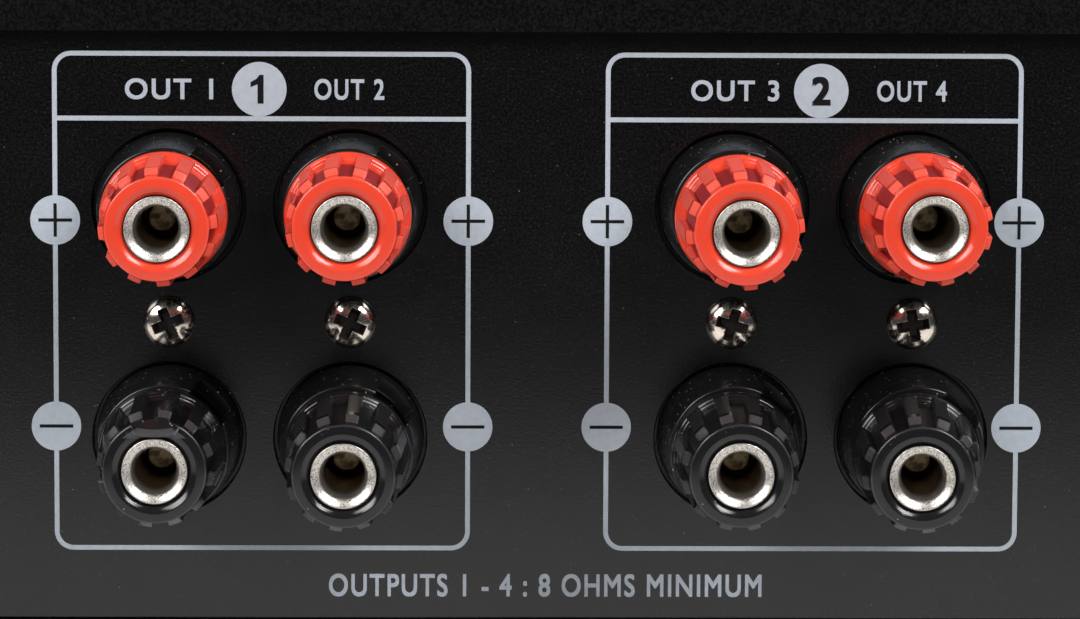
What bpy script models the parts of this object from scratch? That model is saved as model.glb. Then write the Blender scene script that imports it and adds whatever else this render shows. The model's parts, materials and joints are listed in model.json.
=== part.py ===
"""Compact stereo power amplifier with two pairs of speaker outputs, as separate parts.

World axes: +X to the right seen from the front, +Y to the rear, +Z up, feet on Z = 0.
Parts of the rear are built in a rear frame and parts of the front in a front frame. Each frame is
seen face on: x to the right, y up and z towards the viewer.
"""

import math

import bmesh
import bpy
from mathutils import Euler, Matrix, Vector

MM = 0.001

# Fits between parts
CLEARANCE = 0.3 * MM
RUNNING_FIT = 0.4 * MM

# Case
BODY_WIDTH = 300 * MM
BODY_DEPTH = 205 * MM
BODY_HEIGHT = 70 * MM
SHEET = 1.2 * MM
BEND_RADIUS = 2.5 * MM
LIP_HEIGHT = 9 * MM
UPSTAND_HEIGHT = 5 * MM
FACE_THICKNESS = 6 * MM
FACE_MARGIN = 2 * MM
FACE_EDGE = 0.8 * MM
FOOT_HEIGHT = 10 * MM
FOOT_RADIUS = 11 * MM
FOOT_TAPER = 1.5 * MM
FOOT_RECESS_RADIUS = 5 * MM
FOOT_RECESS_DEPTH = 4.5 * MM
FOOT_INSET = 28 * MM
VENT_COUNT = 10
VENT_LENGTH = 60 * MM
VENT_WIDTH = 3.5 * MM
VENT_PITCH = 8 * MM
VENT_OFFSET = 88 * MM
SIDE_VENT_COUNT = 8
SIDE_VENT_HEIGHT = 26 * MM

# Speaker terminals
BLOCK_PITCH = 59 * MM
POST_PITCH_X = 19 * MM
POST_PITCH_Y = 24.5 * MM
POST_ROW_HEIGHT = 30.4 * MM
BLOCK_MARGIN = 9.5 * MM
BLOCK_THICKNESS = 4 * MM
BLOCK_EDGE = 0.5 * MM
COLLAR_BASE_RADIUS = 7.6 * MM
COLLAR_RIM_RADIUS = 6.8 * MM
COLLAR_WALL = 0.6 * MM
COLLAR_HEIGHT = 9.8 * MM
COLLAR_FLOOR = 2 * MM
COLLAR_GAP = 0.6 * MM
WIRE_SLOT_WIDTH = 4.6 * MM
WIRE_SLOT_FLOOR = 2.5 * MM
SEAT_GAP = 0.5 * MM
CAP_LENGTH = 15.5 * MM
FLANGE_RADIUS = 6.55 * MM
FLANGE_THICKNESS = 1.5 * MM
RIB_COUNT = 12
RIB_REAR_RADIUS = 6.4 * MM
RIB_FRONT_RADIUS = 5.85 * MM
RIB_SETBACK = 1 * MM
POCKET_WIDTH = 1.8 * MM
POCKET_BELOW_NOSE = 0.15 * MM
NOSE_RADIUS = 5.25 * MM
MOUTH_RADIUS = 4.1 * MM
MOUTH_DEPTH = 0.7 * MM
CORE_RADIUS = 3.3 * MM
CORE_RECESS = 0.2 * MM
FUNNEL_RADIUS = 2.9 * MM
FUNNEL_DEPTH = 1.6 * MM
BORE_RADIUS = 2.1 * MM
SHOULDER_THICKNESS = 1.5 * MM
SHOULDER_WIDTH = 1.5 * MM
CLAMP_ROOM = 3.2 * MM
WIRE_HOLE_RADIUS = 1.2 * MM
THREAD_ENGAGEMENT = 6 * MM
STUD_TAIL = 7 * MM
SCREW_HEAD_RADIUS = 2.7 * MM
SCREW_HEAD_HEIGHT = 1.9 * MM
SCREW_RADIUS = 1.45 * MM
SCREW_LENGTH = 10 * MM
RECESS_WIDTH = 0.8 * MM
RECESS_SPAN = 3 * MM
RECESS_DEPTH = 1.2 * MM
# The posts stand a little askew: degrees about the rear frame's x and y axes.
POST_LEAN = {
    "a_right_plus": (0, 0.6),
    "a_right_minus": (-0.3, -0.1),
    "a_left_plus": (-0.2, -0.1),
    "a_left_minus": (0.7, -0.3),
    "b_right_plus": (0.6, 0.2),
    "b_right_minus": (0.4, -0.5),
    "b_left_plus": (-0.5, -0.1),
    "b_left_minus": (0.9, -2.3),
}

# Mains inlet and input sockets
INLET_FROM_SIDE = 42 * MM
INLET_WIDTH = 31 * MM
INLET_HEIGHT = 40 * MM
INLET_FLANGE = 2.5 * MM
INLET_RIM = 2 * MM
INLET_DEPTH = 24 * MM
SHROUD_WIDTH = 24.4 * MM
SHROUD_HEIGHT = 16.6 * MM
SHROUD_CHAMFER = 4.5 * MM
SHROUD_DEPTH = 17 * MM
SHROUD_FROM_EDGE = 12.5 * MM
DRAWER_WIDTH = 22 * MM
DRAWER_HEIGHT = 8 * MM
DRAWER_DEPTH = 19 * MM
DRAWER_FROM_EDGE = 8.5 * MM
DRAWER_PULL = 2.2 * MM
DRAWER_LIP = 0.8 * MM
FUSE_LENGTH = 15 * MM
INPUT_FROM_SIDE = 38 * MM
INPUT_PITCH = 20 * MM
INPUT_RADIUS = 4.15 * MM
INPUT_LENGTH = 9 * MM
INPUT_FLANGE_RADIUS = 5.6 * MM
INPUT_FLANGE = 1.4 * MM
INPUT_MOUTH_RADIUS = 3.3 * MM
INPUT_MOUTH_DEPTH = 1 * MM
INPUT_HOLE_RADIUS = 1.65 * MM
INPUT_HOLE_DEPTH = 7 * MM
INPUT_TAIL = 8 * MM

# Front controls
POWER_FROM_SIDE = 38 * MM
POWER_RADIUS = 8 * MM
SPEAKER_X = 5 * MM
SPEAKER_PITCH = 24 * MM
SPEAKER_RADIUS = 5.5 * MM
BUTTON_STAND = 5 * MM
BUTTON_TRAVEL = 3 * MM
BUTTON_EDGE = 0.8 * MM
STEM_RADIUS = 2 * MM
STEM_LENGTH = 8 * MM
SWITCH_WALL = 3 * MM
SWITCH_DEPTH = 20 * MM
KNOB_FROM_SIDE = 58 * MM
KNOB_RADIUS = 17 * MM
KNOB_LENGTH = 17 * MM
KNOB_GAP = 1 * MM
KNOB_EDGE = 1 * MM
KNOB_SKIRT = 1 * MM
KNOB_SKIRT_HEIGHT = 3 * MM
KNOB_BORE_DEPTH = 11 * MM
SHAFT_RADIUS = 3 * MM
BUSH_RADIUS = 4.5 * MM
BUSH_SETBACK = 1 * MM
POT_RADIUS = 9 * MM
POT_LENGTH = 11 * MM
SHAFT_TAIL = 7 * MM
LENS_RADIUS = 1.6 * MM
LENS_OFFSET = 20 * MM
LENS_FLANGE = 0.9 * MM
LENS_TAIL = 4 * MM

# Inside
BOARD_WIDTH = 96 * MM
BOARD_LENGTH = 110 * MM
BOARD_THICKNESS = 1.6 * MM
BOARD_EDGE_GAP = 1 * MM
STANDOFF_RADIUS = 3 * MM
STANDOFF_HEIGHT = 6 * MM
STANDOFF_INSET = 6 * MM
STANDOFF_HOLE_RADIUS = 1.6 * MM
HEATSINK_WALL_GAP = 8 * MM
HEATSINK_DEPTH = 24 * MM
HEATSINK_BASE = 4 * MM
HEATSINK_LENGTH = 122 * MM
HEATSINK_HEIGHT = 52 * MM
FIN_THICKNESS = 2 * MM
FIN_PITCH = 10 * MM
CHIP_WIDTH = 20 * MM
CHIP_HEIGHT = 17 * MM
CHIP_THICKNESS = 4.6 * MM
CHIP_PITCH = 56 * MM
LEAD_COUNT = 5
LEAD_PITCH = 3.4 * MM
LEAD_WIDTH = 1 * MM
LEAD_LENGTH = 9 * MM
CAPACITOR_RADIUS = 12.5 * MM
CAPACITOR_HEIGHT = 40 * MM
CAPACITOR_PITCH = 32 * MM
CAPACITOR_INSET = 20 * MM
CAPACITOR_EDGE = 1.2 * MM
RECTIFIER_WIDTH = 25 * MM
RECTIFIER_HEIGHT = 18 * MM
RECTIFIER_THICKNESS = 5 * MM
RECTIFIER_CORNER = 4 * MM
RECTIFIER_INSET = 56 * MM
TRANSFORMER_FROM_SIDE = 56 * MM
CORE_BLOCK_WIDTH = 66 * MM
CORE_BLOCK_HEIGHT = 55 * MM
CORE_BLOCK_STACK = 36 * MM
CORE_LEG = 11 * MM
CENTRE_LEG = 22 * MM
COIL_OVERHANG = 11 * MM
COIL_CORNER = 3 * MM
TAB_LENGTH = 10 * MM
TAB_THICKNESS = 2.5 * MM

# Roundness of turned parts and holes
FINE_STEPS = 24
COARSE_STEPS = 16
STUD_STEPS = 12
HOLE_STEPS = 16
MERGE_DISTANCE = 0.00001

# Heights
BASE_Z = FOOT_HEIGHT
PAN_TOP = BASE_Z + SHEET
ROOF_Z = BASE_Z + BODY_HEIGHT
ROOF_INNER = ROOF_Z - SHEET
FACE_MID = BASE_Z + BODY_HEIGHT / 2
BOARD_BOTTOM = PAN_TOP + STANDOFF_HEIGHT + CLEARANCE
BOARD_TOP = BOARD_BOTTOM + BOARD_THICKNESS

# Stations along a speaker post, out from the rear panel's outer face
CAP_SEAT = COLLAR_HEIGHT + SEAT_GAP
FLANGE_FRONT = CAP_SEAT + FLANGE_THICKNESS
POST_HEIGHT = CAP_SEAT + CAP_LENGTH
RIB_END = POST_HEIGHT - RIB_SETBACK
SHOULDER_TOP = COLLAR_FLOOR + CLEARANCE + SHOULDER_THICKNESS
CORE_REAR = SHOULDER_TOP + CLAMP_ROOM
STUD_TOP = CORE_REAR + THREAD_ENGAGEMENT
BLOCK_FRONT = -SHEET - CLEARANCE
BLOCK_BACK = BLOCK_FRONT - BLOCK_THICKNESS
STUD_RADIUS = BORE_RADIUS - CLEARANCE / 2
COLLAR_BORE_RADIUS = COLLAR_RIM_RADIUS - COLLAR_WALL
CAP_BORE_RADIUS = CORE_RADIUS + CLEARANCE / 2

# Places in the mains inlet, up and down from its middle
SHROUD_RISE = INLET_HEIGHT / 2 - SHROUD_FROM_EDGE
DRAWER_DROP = INLET_HEIGHT / 2 - DRAWER_FROM_EDGE

# Depths, with the whole length from knob to caps centred on Y = 0
KNOB_STAND = KNOB_GAP + KNOB_LENGTH
TOTAL_DEPTH = KNOB_STAND + FACE_THICKNESS + BODY_DEPTH + POST_HEIGHT
FACE_FRONT = KNOB_STAND - TOTAL_DEPTH / 2
FACE_BACK = FACE_FRONT + FACE_THICKNESS
PANEL_FACE = FACE_BACK + BODY_DEPTH
MID_Y = (FACE_BACK + PANEL_FACE) / 2
PAN_FRONT = FACE_BACK + CLEARANCE
PAN_REAR = PANEL_FACE - SHEET - CLEARANCE
UPSTAND_BACK = FACE_THICKNESS + CLEARANCE + SHEET

# Widths
HALF_WIDTH = BODY_WIDTH / 2
INNER_HALF = HALF_WIDTH - SHEET - CLEARANCE
POWER_X = POWER_FROM_SIDE - HALF_WIDTH
LENS_X = POWER_X + LENS_OFFSET
KNOB_X = HALF_WIDTH - KNOB_FROM_SIDE
SPEAKER_XS = {"a": SPEAKER_X - SPEAKER_PITCH / 2, "b": SPEAKER_X + SPEAKER_PITCH / 2}
HEATSINK_OUTER = HALF_WIDTH - SHEET - HEATSINK_WALL_GAP
HEATSINK_INNER = HEATSINK_OUTER - HEATSINK_DEPTH
BOARD_RIGHT = HEATSINK_INNER - BOARD_EDGE_GAP
BOARD_LEFT = BOARD_RIGHT - BOARD_WIDTH
TRANSFORMER_X = TRANSFORMER_FROM_SIDE - HALF_WIDTH
INLET_X = HALF_WIDTH - INLET_FROM_SIDE
INPUT_X = INPUT_FROM_SIDE - HALF_WIDTH
BLOCK_XS = {"a": -BLOCK_PITCH / 2, "b": BLOCK_PITCH / 2}
SIDE_XS = {"right": -POST_PITCH_X / 2, "left": POST_PITCH_X / 2}
ROW_YS = {"plus": POST_PITCH_Y / 2, "minus": -POST_PITCH_Y / 2}

# Colour, roughness and metallic value of each finish
FINISHES = {
    "black_coat": ((0.012, 0.012, 0.013), 0.55, 0.0),
    "black_anodised": ((0.02, 0.02, 0.022), 0.35, 0.6),
    "red_plastic": ((0.75, 0.03, 0.02), 0.15, 0.0),
    "black_plastic": ((0.01, 0.01, 0.01), 0.2, 0.0),
    "white_plastic": ((0.8, 0.8, 0.78), 0.3, 0.0),
    "nickel": ((0.7, 0.67, 0.62), 0.15, 1.0),
    "aluminium": ((0.6, 0.61, 0.62), 0.35, 1.0),
    "rubber": ((0.015, 0.015, 0.015), 0.8, 0.0),
    "green_board": ((0.02, 0.12, 0.05), 0.4, 0.0),
    "lamination": ((0.16, 0.15, 0.15), 0.45, 0.8),
    "coil_tape": ((0.62, 0.42, 0.06), 0.4, 0.0),
    "capacitor_sleeve": ((0.02, 0.03, 0.06), 0.3, 0.0),
    "green_lens": ((0.1, 0.7, 0.2), 0.1, 0.0),
}


def clear_scene():
    for obj in list(bpy.data.objects):
        bpy.data.objects.remove(obj)


def make_collection(name):
    collection = bpy.data.collections.new(name)
    bpy.context.scene.collection.children.link(collection)
    return collection


def make_finishes():
    """A Principled material for each finish."""
    materials = {}
    for name, (colour, roughness, metallic) in FINISHES.items():
        material = bpy.data.materials.new(name)
        material.use_nodes = True
        shader = material.node_tree.nodes["Principled BSDF"]
        shader.inputs["Base Color"].default_value = (*colour, 1)
        shader.inputs["Roughness"].default_value = roughness
        shader.inputs["Metallic"].default_value = metallic
        materials[name] = material
    return materials


def mesh_from(bm, name):
    mesh = bpy.data.meshes.new(name)
    bm.to_mesh(mesh)
    bm.free()
    return mesh


def evaluated_mesh(obj):
    """The object's mesh with its modifiers applied. The object itself is removed."""
    graph = bpy.context.evaluated_depsgraph_get()
    mesh = bpy.data.meshes.new_from_object(obj.evaluated_get(graph))
    bpy.data.objects.remove(obj)
    return mesh


def workshop_object(mesh):
    obj = bpy.data.objects.new(mesh.name, mesh)
    bpy.context.scene.collection.objects.link(obj)
    return obj


def boxes(*ranges):
    """One mesh of boxes, each given by its low and high x, y and z."""
    bm = bmesh.new()
    for low_high in ranges:
        middle = Vector([(low + high) / 2 for low, high in low_high])
        size = [high - low for low, high in low_high]
        bmesh.ops.create_cube(bm, size=1, matrix=Matrix.Translation(middle) @ Matrix.Diagonal((*size, 1)))
    return mesh_from(bm, "boxes")


def rods(radius, span, places, steps=HOLE_STEPS, end_radius=None):
    """One mesh of upright rods, or of cones where the end radius differs, at the places in x and y."""
    bm = bmesh.new()
    for x, y in places:
        bmesh.ops.create_cone(
            bm,
            cap_ends=True,
            segments=steps,
            radius1=radius,
            radius2=radius if end_radius is None else end_radius,
            depth=span[1] - span[0],
            matrix=Matrix.Translation((x, y, (span[0] + span[1]) / 2)),
        )
    return mesh_from(bm, "rods")


def turned(profile, steps, is_ring=False):
    """A profile of radius and height, from the top down its outer side, turned about Z."""
    mesh = bpy.data.meshes.new("turned")
    edges = [(i, i + 1) for i in range(len(profile) - 1)]
    if is_ring:
        edges.append((len(profile) - 1, 0))
    mesh.from_pydata([(radius, 0, height) for radius, height in profile], edges, [])
    obj = workshop_object(mesh)
    screw = obj.modifiers.new("Turn", "SCREW")
    screw.steps = steps
    screw.render_steps = steps
    screw.use_merge_vertices = True
    screw.merge_threshold = MERGE_DISTANCE
    return evaluated_mesh(obj)


def eased(mesh, width, segments=1):
    """The mesh with its sharp edges bevelled."""
    obj = workshop_object(mesh)
    bevel = obj.modifiers.new("Ease", "BEVEL")
    bevel.width = width
    bevel.segments = segments
    bevel.limit_method = "ANGLE"
    return evaluated_mesh(obj)


def combined(operation, base, tools):
    body = workshop_object(base)
    helpers = [workshop_object(tool) for tool in tools]
    for helper in helpers:
        boolean = body.modifiers.new(operation.title(), "BOOLEAN")
        boolean.operation = operation
        boolean.solver = "EXACT"
        boolean.object = helper
    mesh = evaluated_mesh(body)
    for helper in helpers:
        bpy.data.objects.remove(helper)
    return mesh


def cut(base, *tools):
    return combined("DIFFERENCE", base, tools)


def joined(base, *tools):
    return combined("UNION", base, tools)


def moved(mesh, matrix):
    mesh.transform(matrix)
    return mesh


def make_frame(name, location, rotation, collection, parent=None):
    """An empty that carries parts, with its axes where they are easiest to read."""
    frame = bpy.data.objects.new(name, None)
    frame.location = location
    frame.rotation_euler = rotation
    frame.parent = parent
    collection.objects.link(frame)
    return frame


def post_places():
    """The eight speaker posts: name, block, row, x and y in the rear frame."""
    for block, block_x in BLOCK_XS.items():
        for side, side_x in SIDE_XS.items():
            for row, row_y in ROW_YS.items():
                yield f"{block}_{side}_{row}", row, block_x + side_x, row_y


def terminal_screw_places():
    return {
        f"{block}_{side}": (block_x + side_x, 0)
        for block, block_x in BLOCK_XS.items()
        for side, side_x in SIDE_XS.items()
    }


def input_places():
    return {"left": (INPUT_X, INPUT_PITCH / 2), "right": (INPUT_X, -INPUT_PITCH / 2)}


def standoff_places():
    xs = (BOARD_LEFT + STANDOFF_INSET, BOARD_RIGHT - STANDOFF_INSET)
    reach = BOARD_LENGTH / 2 - STANDOFF_INSET
    return [(x, MID_Y + side * reach) for x in xs for side in (-1, 1)]


def foot_places():
    x = HALF_WIDTH - FOOT_INSET
    ends = {"front": PAN_FRONT + FOOT_INSET, "rear": PAN_REAR - FOOT_INSET}
    return {
        f"{end}_{side}": (sign * x, y)
        for end, y in ends.items()
        for side, sign in (("left", -1), ("right", 1))
    }


def front_holes(span):
    """Cutters through the faceplate and the pan's upstand, in the front frame."""
    power = rods(POWER_RADIUS + RUNNING_FIT, span, [(POWER_X, 0)])
    speakers = rods(SPEAKER_RADIUS + RUNNING_FIT, span, [(x, 0) for x in SPEAKER_XS.values()])
    bush = rods(BUSH_RADIUS + CLEARANCE, span, [(KNOB_X, 0)])
    lens = rods(LENS_RADIUS + CLEARANCE, span, [(LENS_X, 0)], COARSE_STEPS)
    return power, speakers, bush, lens


def chassis_pan():
    """Folded steel tray: floor, a full-height front upstand, a low rear upstand and board standoffs."""
    floor = boxes(((-INNER_HALF, INNER_HALF), (PAN_FRONT, PAN_REAR), (BASE_Z, PAN_TOP)))
    front = boxes(
        ((-INNER_HALF, INNER_HALF), (PAN_FRONT, PAN_FRONT + SHEET), (BASE_Z, ROOF_INNER - CLEARANCE))
    )
    rear = boxes(
        ((-INNER_HALF, INNER_HALF), (PAN_REAR - SHEET, PAN_REAR), (BASE_Z, PAN_TOP + UPSTAND_HEIGHT))
    )
    standoffs = rods(
        STANDOFF_RADIUS, (BASE_Z + SHEET / 2, PAN_TOP + STANDOFF_HEIGHT), standoff_places(), STUD_STEPS
    )
    tray = joined(floor, front, rear, standoffs)
    to_world = front_matrix()
    holes = [moved(hole, to_world) for hole in front_holes((-2 * UPSTAND_BACK, 0))]
    return cut(tray, *holes)


def rear_panel():
    """Flat steel sheet, in the rear frame, with its outer face at z = 0."""
    low = -POST_ROW_HEIGHT
    sheet = boxes(
        ((-INNER_HALF, INNER_HALF), (low, low + BODY_HEIGHT - SHEET - CLEARANCE), (-SHEET, 0))
    )
    span = (-2 * SHEET, SHEET)
    widest = max(COLLAR_BASE_RADIUS, COLLAR_RIM_RADIUS) + COLLAR_GAP
    posts = rods(widest, span, [(x, y) for _, _, x, y in post_places()], FINE_STEPS)
    screws = rods(SCREW_RADIUS + CLEARANCE, span, terminal_screw_places().values(), STUD_STEPS)
    inputs = rods(INPUT_RADIUS + CLEARANCE, span, input_places().values(), COARSE_STEPS)
    half_x = INLET_WIDTH / 2 - INLET_RIM + CLEARANCE
    half_y = INLET_HEIGHT / 2 - INLET_RIM + CLEARANCE
    inlet = boxes(((INLET_X - half_x, INLET_X + half_x), (-half_y, half_y), span))
    return cut(sheet, posts, screws, inputs, inlet)


def faceplate():
    """Thick aluminium plate with eased edges, in the front frame, with its outer face at z = 0."""
    half_x = HALF_WIDTH + FACE_MARGIN
    half_y = BODY_HEIGHT / 2 + FACE_MARGIN
    plate = eased(boxes(((-half_x, half_x), (-half_y, half_y), (-FACE_THICKNESS, 0))), FACE_EDGE)
    return cut(plate, *front_holes((-2 * FACE_THICKNESS, FACE_THICKNESS)))


def vent_slots(count, pitch, width, length, middle, span):
    """Cutters for a row of slots along x, each long in y, through the span in z."""
    first = middle[0] - pitch * (count - 1) / 2
    slots = []
    for i in range(count):
        x = first + i * pitch
        slots.append(((x - width / 2, x + width / 2), (middle[1] - length / 2, middle[1] + length / 2), span))
    return boxes(*slots)


def top_cover():
    """Folded steel cover: roof, two sides and a rear lip that laps over the rear panel."""
    rear = PANEL_FACE + CLEARANCE + SHEET
    spare = 2 * BEND_RADIUS
    outer = eased(
        boxes(((-HALF_WIDTH, HALF_WIDTH), (PAN_FRONT - spare, rear), (BASE_Z - spare, ROOF_Z))), BEND_RADIUS, 3
    )
    inner_half = HALF_WIDTH - SHEET
    hollow = boxes(
        ((-inner_half, inner_half), (PAN_FRONT - 2 * spare, rear - SHEET), (BASE_Z - 2 * spare, ROOF_INNER))
    )
    wide = BODY_WIDTH
    below = boxes(((-wide, wide), (PAN_FRONT - 2 * spare, rear + spare), (BASE_Z - 2 * spare, BASE_Z)))
    ahead = boxes(((-wide, wide), (PAN_FRONT - 2 * spare, PAN_FRONT), (BASE_Z - 2 * spare, ROOF_Z + spare)))
    under_lip = boxes(
        ((-inner_half, inner_half), (rear - 2 * SHEET, rear + spare), (BASE_Z - spare, ROOF_Z - LIP_HEIGHT))
    )
    through_roof = (ROOF_INNER - SHEET, ROOF_Z + SHEET)
    roof_slots = [
        vent_slots(VENT_COUNT, VENT_PITCH, VENT_WIDTH, VENT_LENGTH, (side * VENT_OFFSET, MID_Y), through_roof)
        for side in (-1, 1)
    ]
    side_slots = moved(
        vent_slots(SIDE_VENT_COUNT, VENT_PITCH, VENT_WIDTH, SIDE_VENT_HEIGHT, (MID_Y, FACE_MID), (-wide, wide)),
        Matrix.Rotation(math.pi / 2, 4, "Z") @ Matrix.Rotation(math.pi / 2, 4, "X"),
    )
    return cut(outer, hollow, below, ahead, under_lip, *roof_slots, side_slots)


def foot():
    """Moulded foot with a screw recess underneath, its top at z = 0."""
    sole = CLEARANCE - FOOT_HEIGHT
    return turned(
        [
            (0, 0),
            (FOOT_RADIUS, 0),
            (FOOT_RADIUS - FOOT_TAPER, sole),
            (FOOT_RECESS_RADIUS, sole),
            (FOOT_RECESS_RADIUS, sole + FOOT_RECESS_DEPTH),
            (0, sole + FOOT_RECESS_DEPTH),
        ],
        COARSE_STEPS,
    )


def terminal_block():
    """Moulded plate behind the panel with four collars, centred on its own x and y."""
    places = [(x, y) for x in SIDE_XS.values() for y in ROW_YS.values()]
    half_x = POST_PITCH_X / 2 + BLOCK_MARGIN
    half_y = POST_PITCH_Y / 2 + BLOCK_MARGIN
    plate = eased(boxes(((-half_x, half_x), (-half_y, half_y), (BLOCK_BACK, BLOCK_FRONT))), BLOCK_EDGE)
    root = (BLOCK_BACK + BLOCK_FRONT) / 2
    slope = (COLLAR_RIM_RADIUS - COLLAR_BASE_RADIUS) / COLLAR_HEIGHT
    collars = rods(
        COLLAR_BASE_RADIUS + slope * root, (root, COLLAR_HEIGHT), places, FINE_STEPS, COLLAR_RIM_RADIUS
    )
    above = COLLAR_HEIGHT + COLLAR_FLOOR
    cups = rods(COLLAR_BORE_RADIUS, (COLLAR_FLOOR, above), places, FINE_STEPS)
    slot = boxes(
        (
            (-2 * COLLAR_BASE_RADIUS, 2 * COLLAR_BASE_RADIUS),
            (-WIRE_SLOT_WIDTH / 2, WIRE_SLOT_WIDTH / 2),
            (WIRE_SLOT_FLOOR, above),
        )
    )
    diagonal = Matrix.Rotation(math.pi / 4, 4, "Z")
    slots = [moved(slot.copy(), Matrix.Translation((x, y, 0)) @ diagonal) for x, y in places]
    below = 2 * BLOCK_BACK
    studs = rods(STUD_RADIUS + RUNNING_FIT, (below, above), places, STUD_STEPS)
    screws = rods(
        SCREW_RADIUS + CLEARANCE, (below, above), [(x, 0) for x in SIDE_XS.values()], STUD_STEPS
    )
    return cut(joined(plate, collars), cups, *slots, studs, screws)


def terminal_screw():
    """Pan-head screw with a cross recess, its head seated at z = 0."""
    seat = CLEARANCE
    top = seat + SCREW_HEAD_HEIGHT
    screw = turned(
        [
            (0, top),
            (SCREW_HEAD_RADIUS * 0.5, top - SCREW_HEAD_HEIGHT * 0.07),
            (SCREW_HEAD_RADIUS * 0.87, top - SCREW_HEAD_HEIGHT * 0.35),
            (SCREW_HEAD_RADIUS, seat + SCREW_HEAD_HEIGHT * 0.2),
            (SCREW_HEAD_RADIUS, seat),
            (SCREW_RADIUS, seat),
            (SCREW_RADIUS, -SCREW_LENGTH),
            (0, -SCREW_LENGTH),
        ],
        COARSE_STEPS,
    )
    half_span = RECESS_SPAN / 2
    half_width = RECESS_WIDTH / 2
    depth = (top - RECESS_DEPTH, top + RECESS_DEPTH)
    bar = ((-half_span, half_span), (-half_width, half_width), depth)
    cross_bar = ((-half_width, half_width), (-half_span, half_span), depth)
    return cut(screw, boxes(bar), boxes(cross_bar))


def screw_cap():
    """Ribbed cap: a rear flange, ribs with pockets between them and a smooth nose round the mouth."""
    body = turned(
        [
            (CAP_BORE_RADIUS, POST_HEIGHT - MOUTH_DEPTH),
            (MOUTH_RADIUS, POST_HEIGHT),
            (NOSE_RADIUS, POST_HEIGHT),
            (NOSE_RADIUS, RIB_END),
            (RIB_FRONT_RADIUS, RIB_END),
            (RIB_REAR_RADIUS, FLANGE_FRONT),
            (FLANGE_RADIUS, FLANGE_FRONT),
            (FLANGE_RADIUS, CAP_SEAT),
            (CAP_BORE_RADIUS, CAP_SEAT),
        ],
        2 * RIB_COUNT,
        is_ring=True,
    )
    floor = NOSE_RADIUS - POCKET_BELOW_NOSE
    overshoot = FLANGE_RADIUS + RIB_REAR_RADIUS
    pocket = boxes(
        (
            (floor, overshoot),
            (-POCKET_WIDTH / 2, POCKET_WIDTH / 2),
            (FLANGE_FRONT + CLEARANCE, RIB_END - CLEARANCE),
        )
    )
    pockets = []
    for i in range(RIB_COUNT):
        turn = Matrix.Rotation((i + 0.5) * math.tau / RIB_COUNT, 4, "Z")
        pockets.append(moved(pocket.copy(), turn))
    return cut(body, *pockets)


def cap_core():
    """Plated sleeve inside the cap, with a funnel mouth and a bore for a 4 mm plug."""
    front = POST_HEIGHT - CORE_RECESS
    return turned(
        [
            (BORE_RADIUS, CORE_REAR),
            (BORE_RADIUS, front - FUNNEL_DEPTH),
            (FUNNEL_RADIUS, front),
            (CORE_RADIUS, front),
            (CORE_RADIUS, CORE_REAR),
        ],
        COARSE_STEPS,
        is_ring=True,
    )


def stud():
    """Fixed stud that the cap screws on, with a shoulder and a hole across it for bare wire."""
    shoulder = STUD_RADIUS + SHOULDER_WIDTH
    tail = BLOCK_BACK - STUD_TAIL
    rod = turned(
        [
            (0, STUD_TOP),
            (STUD_RADIUS, STUD_TOP),
            (STUD_RADIUS, SHOULDER_TOP),
            (shoulder, SHOULDER_TOP),
            (shoulder, COLLAR_FLOOR + CLEARANCE),
            (STUD_RADIUS, COLLAR_FLOOR + CLEARANCE),
            (STUD_RADIUS, tail),
            (0, tail),
        ],
        STUD_STEPS,
    )
    hole = rods(WIRE_HOLE_RADIUS, (-shoulder, shoulder), [(0, 0)], 8)
    along_slot = Matrix.Rotation(math.pi / 4, 4, "Z") @ Matrix.Rotation(math.pi / 2, 4, "Y")
    return cut(rod, moved(hole, Matrix.Translation((0, 0, SHOULDER_TOP + CLAMP_ROOM / 2)) @ along_slot))


def mains_inlet():
    """Moulded three-pin inlet over a fuse drawer slot, centred on its own x and y."""
    half_x = INLET_WIDTH / 2
    half_y = INLET_HEIGHT / 2
    flange = eased(
        boxes(((-half_x, half_x), (-half_y, half_y), (CLEARANCE, CLEARANCE + INLET_FLANGE))), CLEARANCE
    )
    body_x = half_x - INLET_RIM
    body_y = half_y - INLET_RIM
    body = boxes(((-body_x, body_x), (-body_y, body_y), (-INLET_DEPTH, CLEARANCE + INLET_FLANGE / 2)))
    front = CLEARANCE + INLET_FLANGE
    shroud = prism(
        [
            (-SHROUD_WIDTH / 2, -SHROUD_HEIGHT / 2),
            (SHROUD_WIDTH / 2, -SHROUD_HEIGHT / 2),
            (SHROUD_WIDTH / 2, SHROUD_HEIGHT / 2 - SHROUD_CHAMFER),
            (SHROUD_WIDTH / 2 - SHROUD_CHAMFER, SHROUD_HEIGHT / 2),
            (SHROUD_CHAMFER - SHROUD_WIDTH / 2, SHROUD_HEIGHT / 2),
            (-SHROUD_WIDTH / 2, SHROUD_HEIGHT / 2 - SHROUD_CHAMFER),
        ],
        (front - SHROUD_DEPTH, front + SHROUD_DEPTH),
    )
    slot_x = DRAWER_WIDTH / 2 + RUNNING_FIT
    slot_y = DRAWER_HEIGHT / 2 + RUNNING_FIT
    slot = boxes(
        (
            (-slot_x, slot_x),
            (-DRAWER_DROP - slot_y, slot_y - DRAWER_DROP),
            (front - DRAWER_DEPTH - RUNNING_FIT, front + INLET_FLANGE),
        )
    )
    return cut(joined(flange, body), moved(shroud, Matrix.Translation((0, SHROUD_RISE, 0))), slot)


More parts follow.
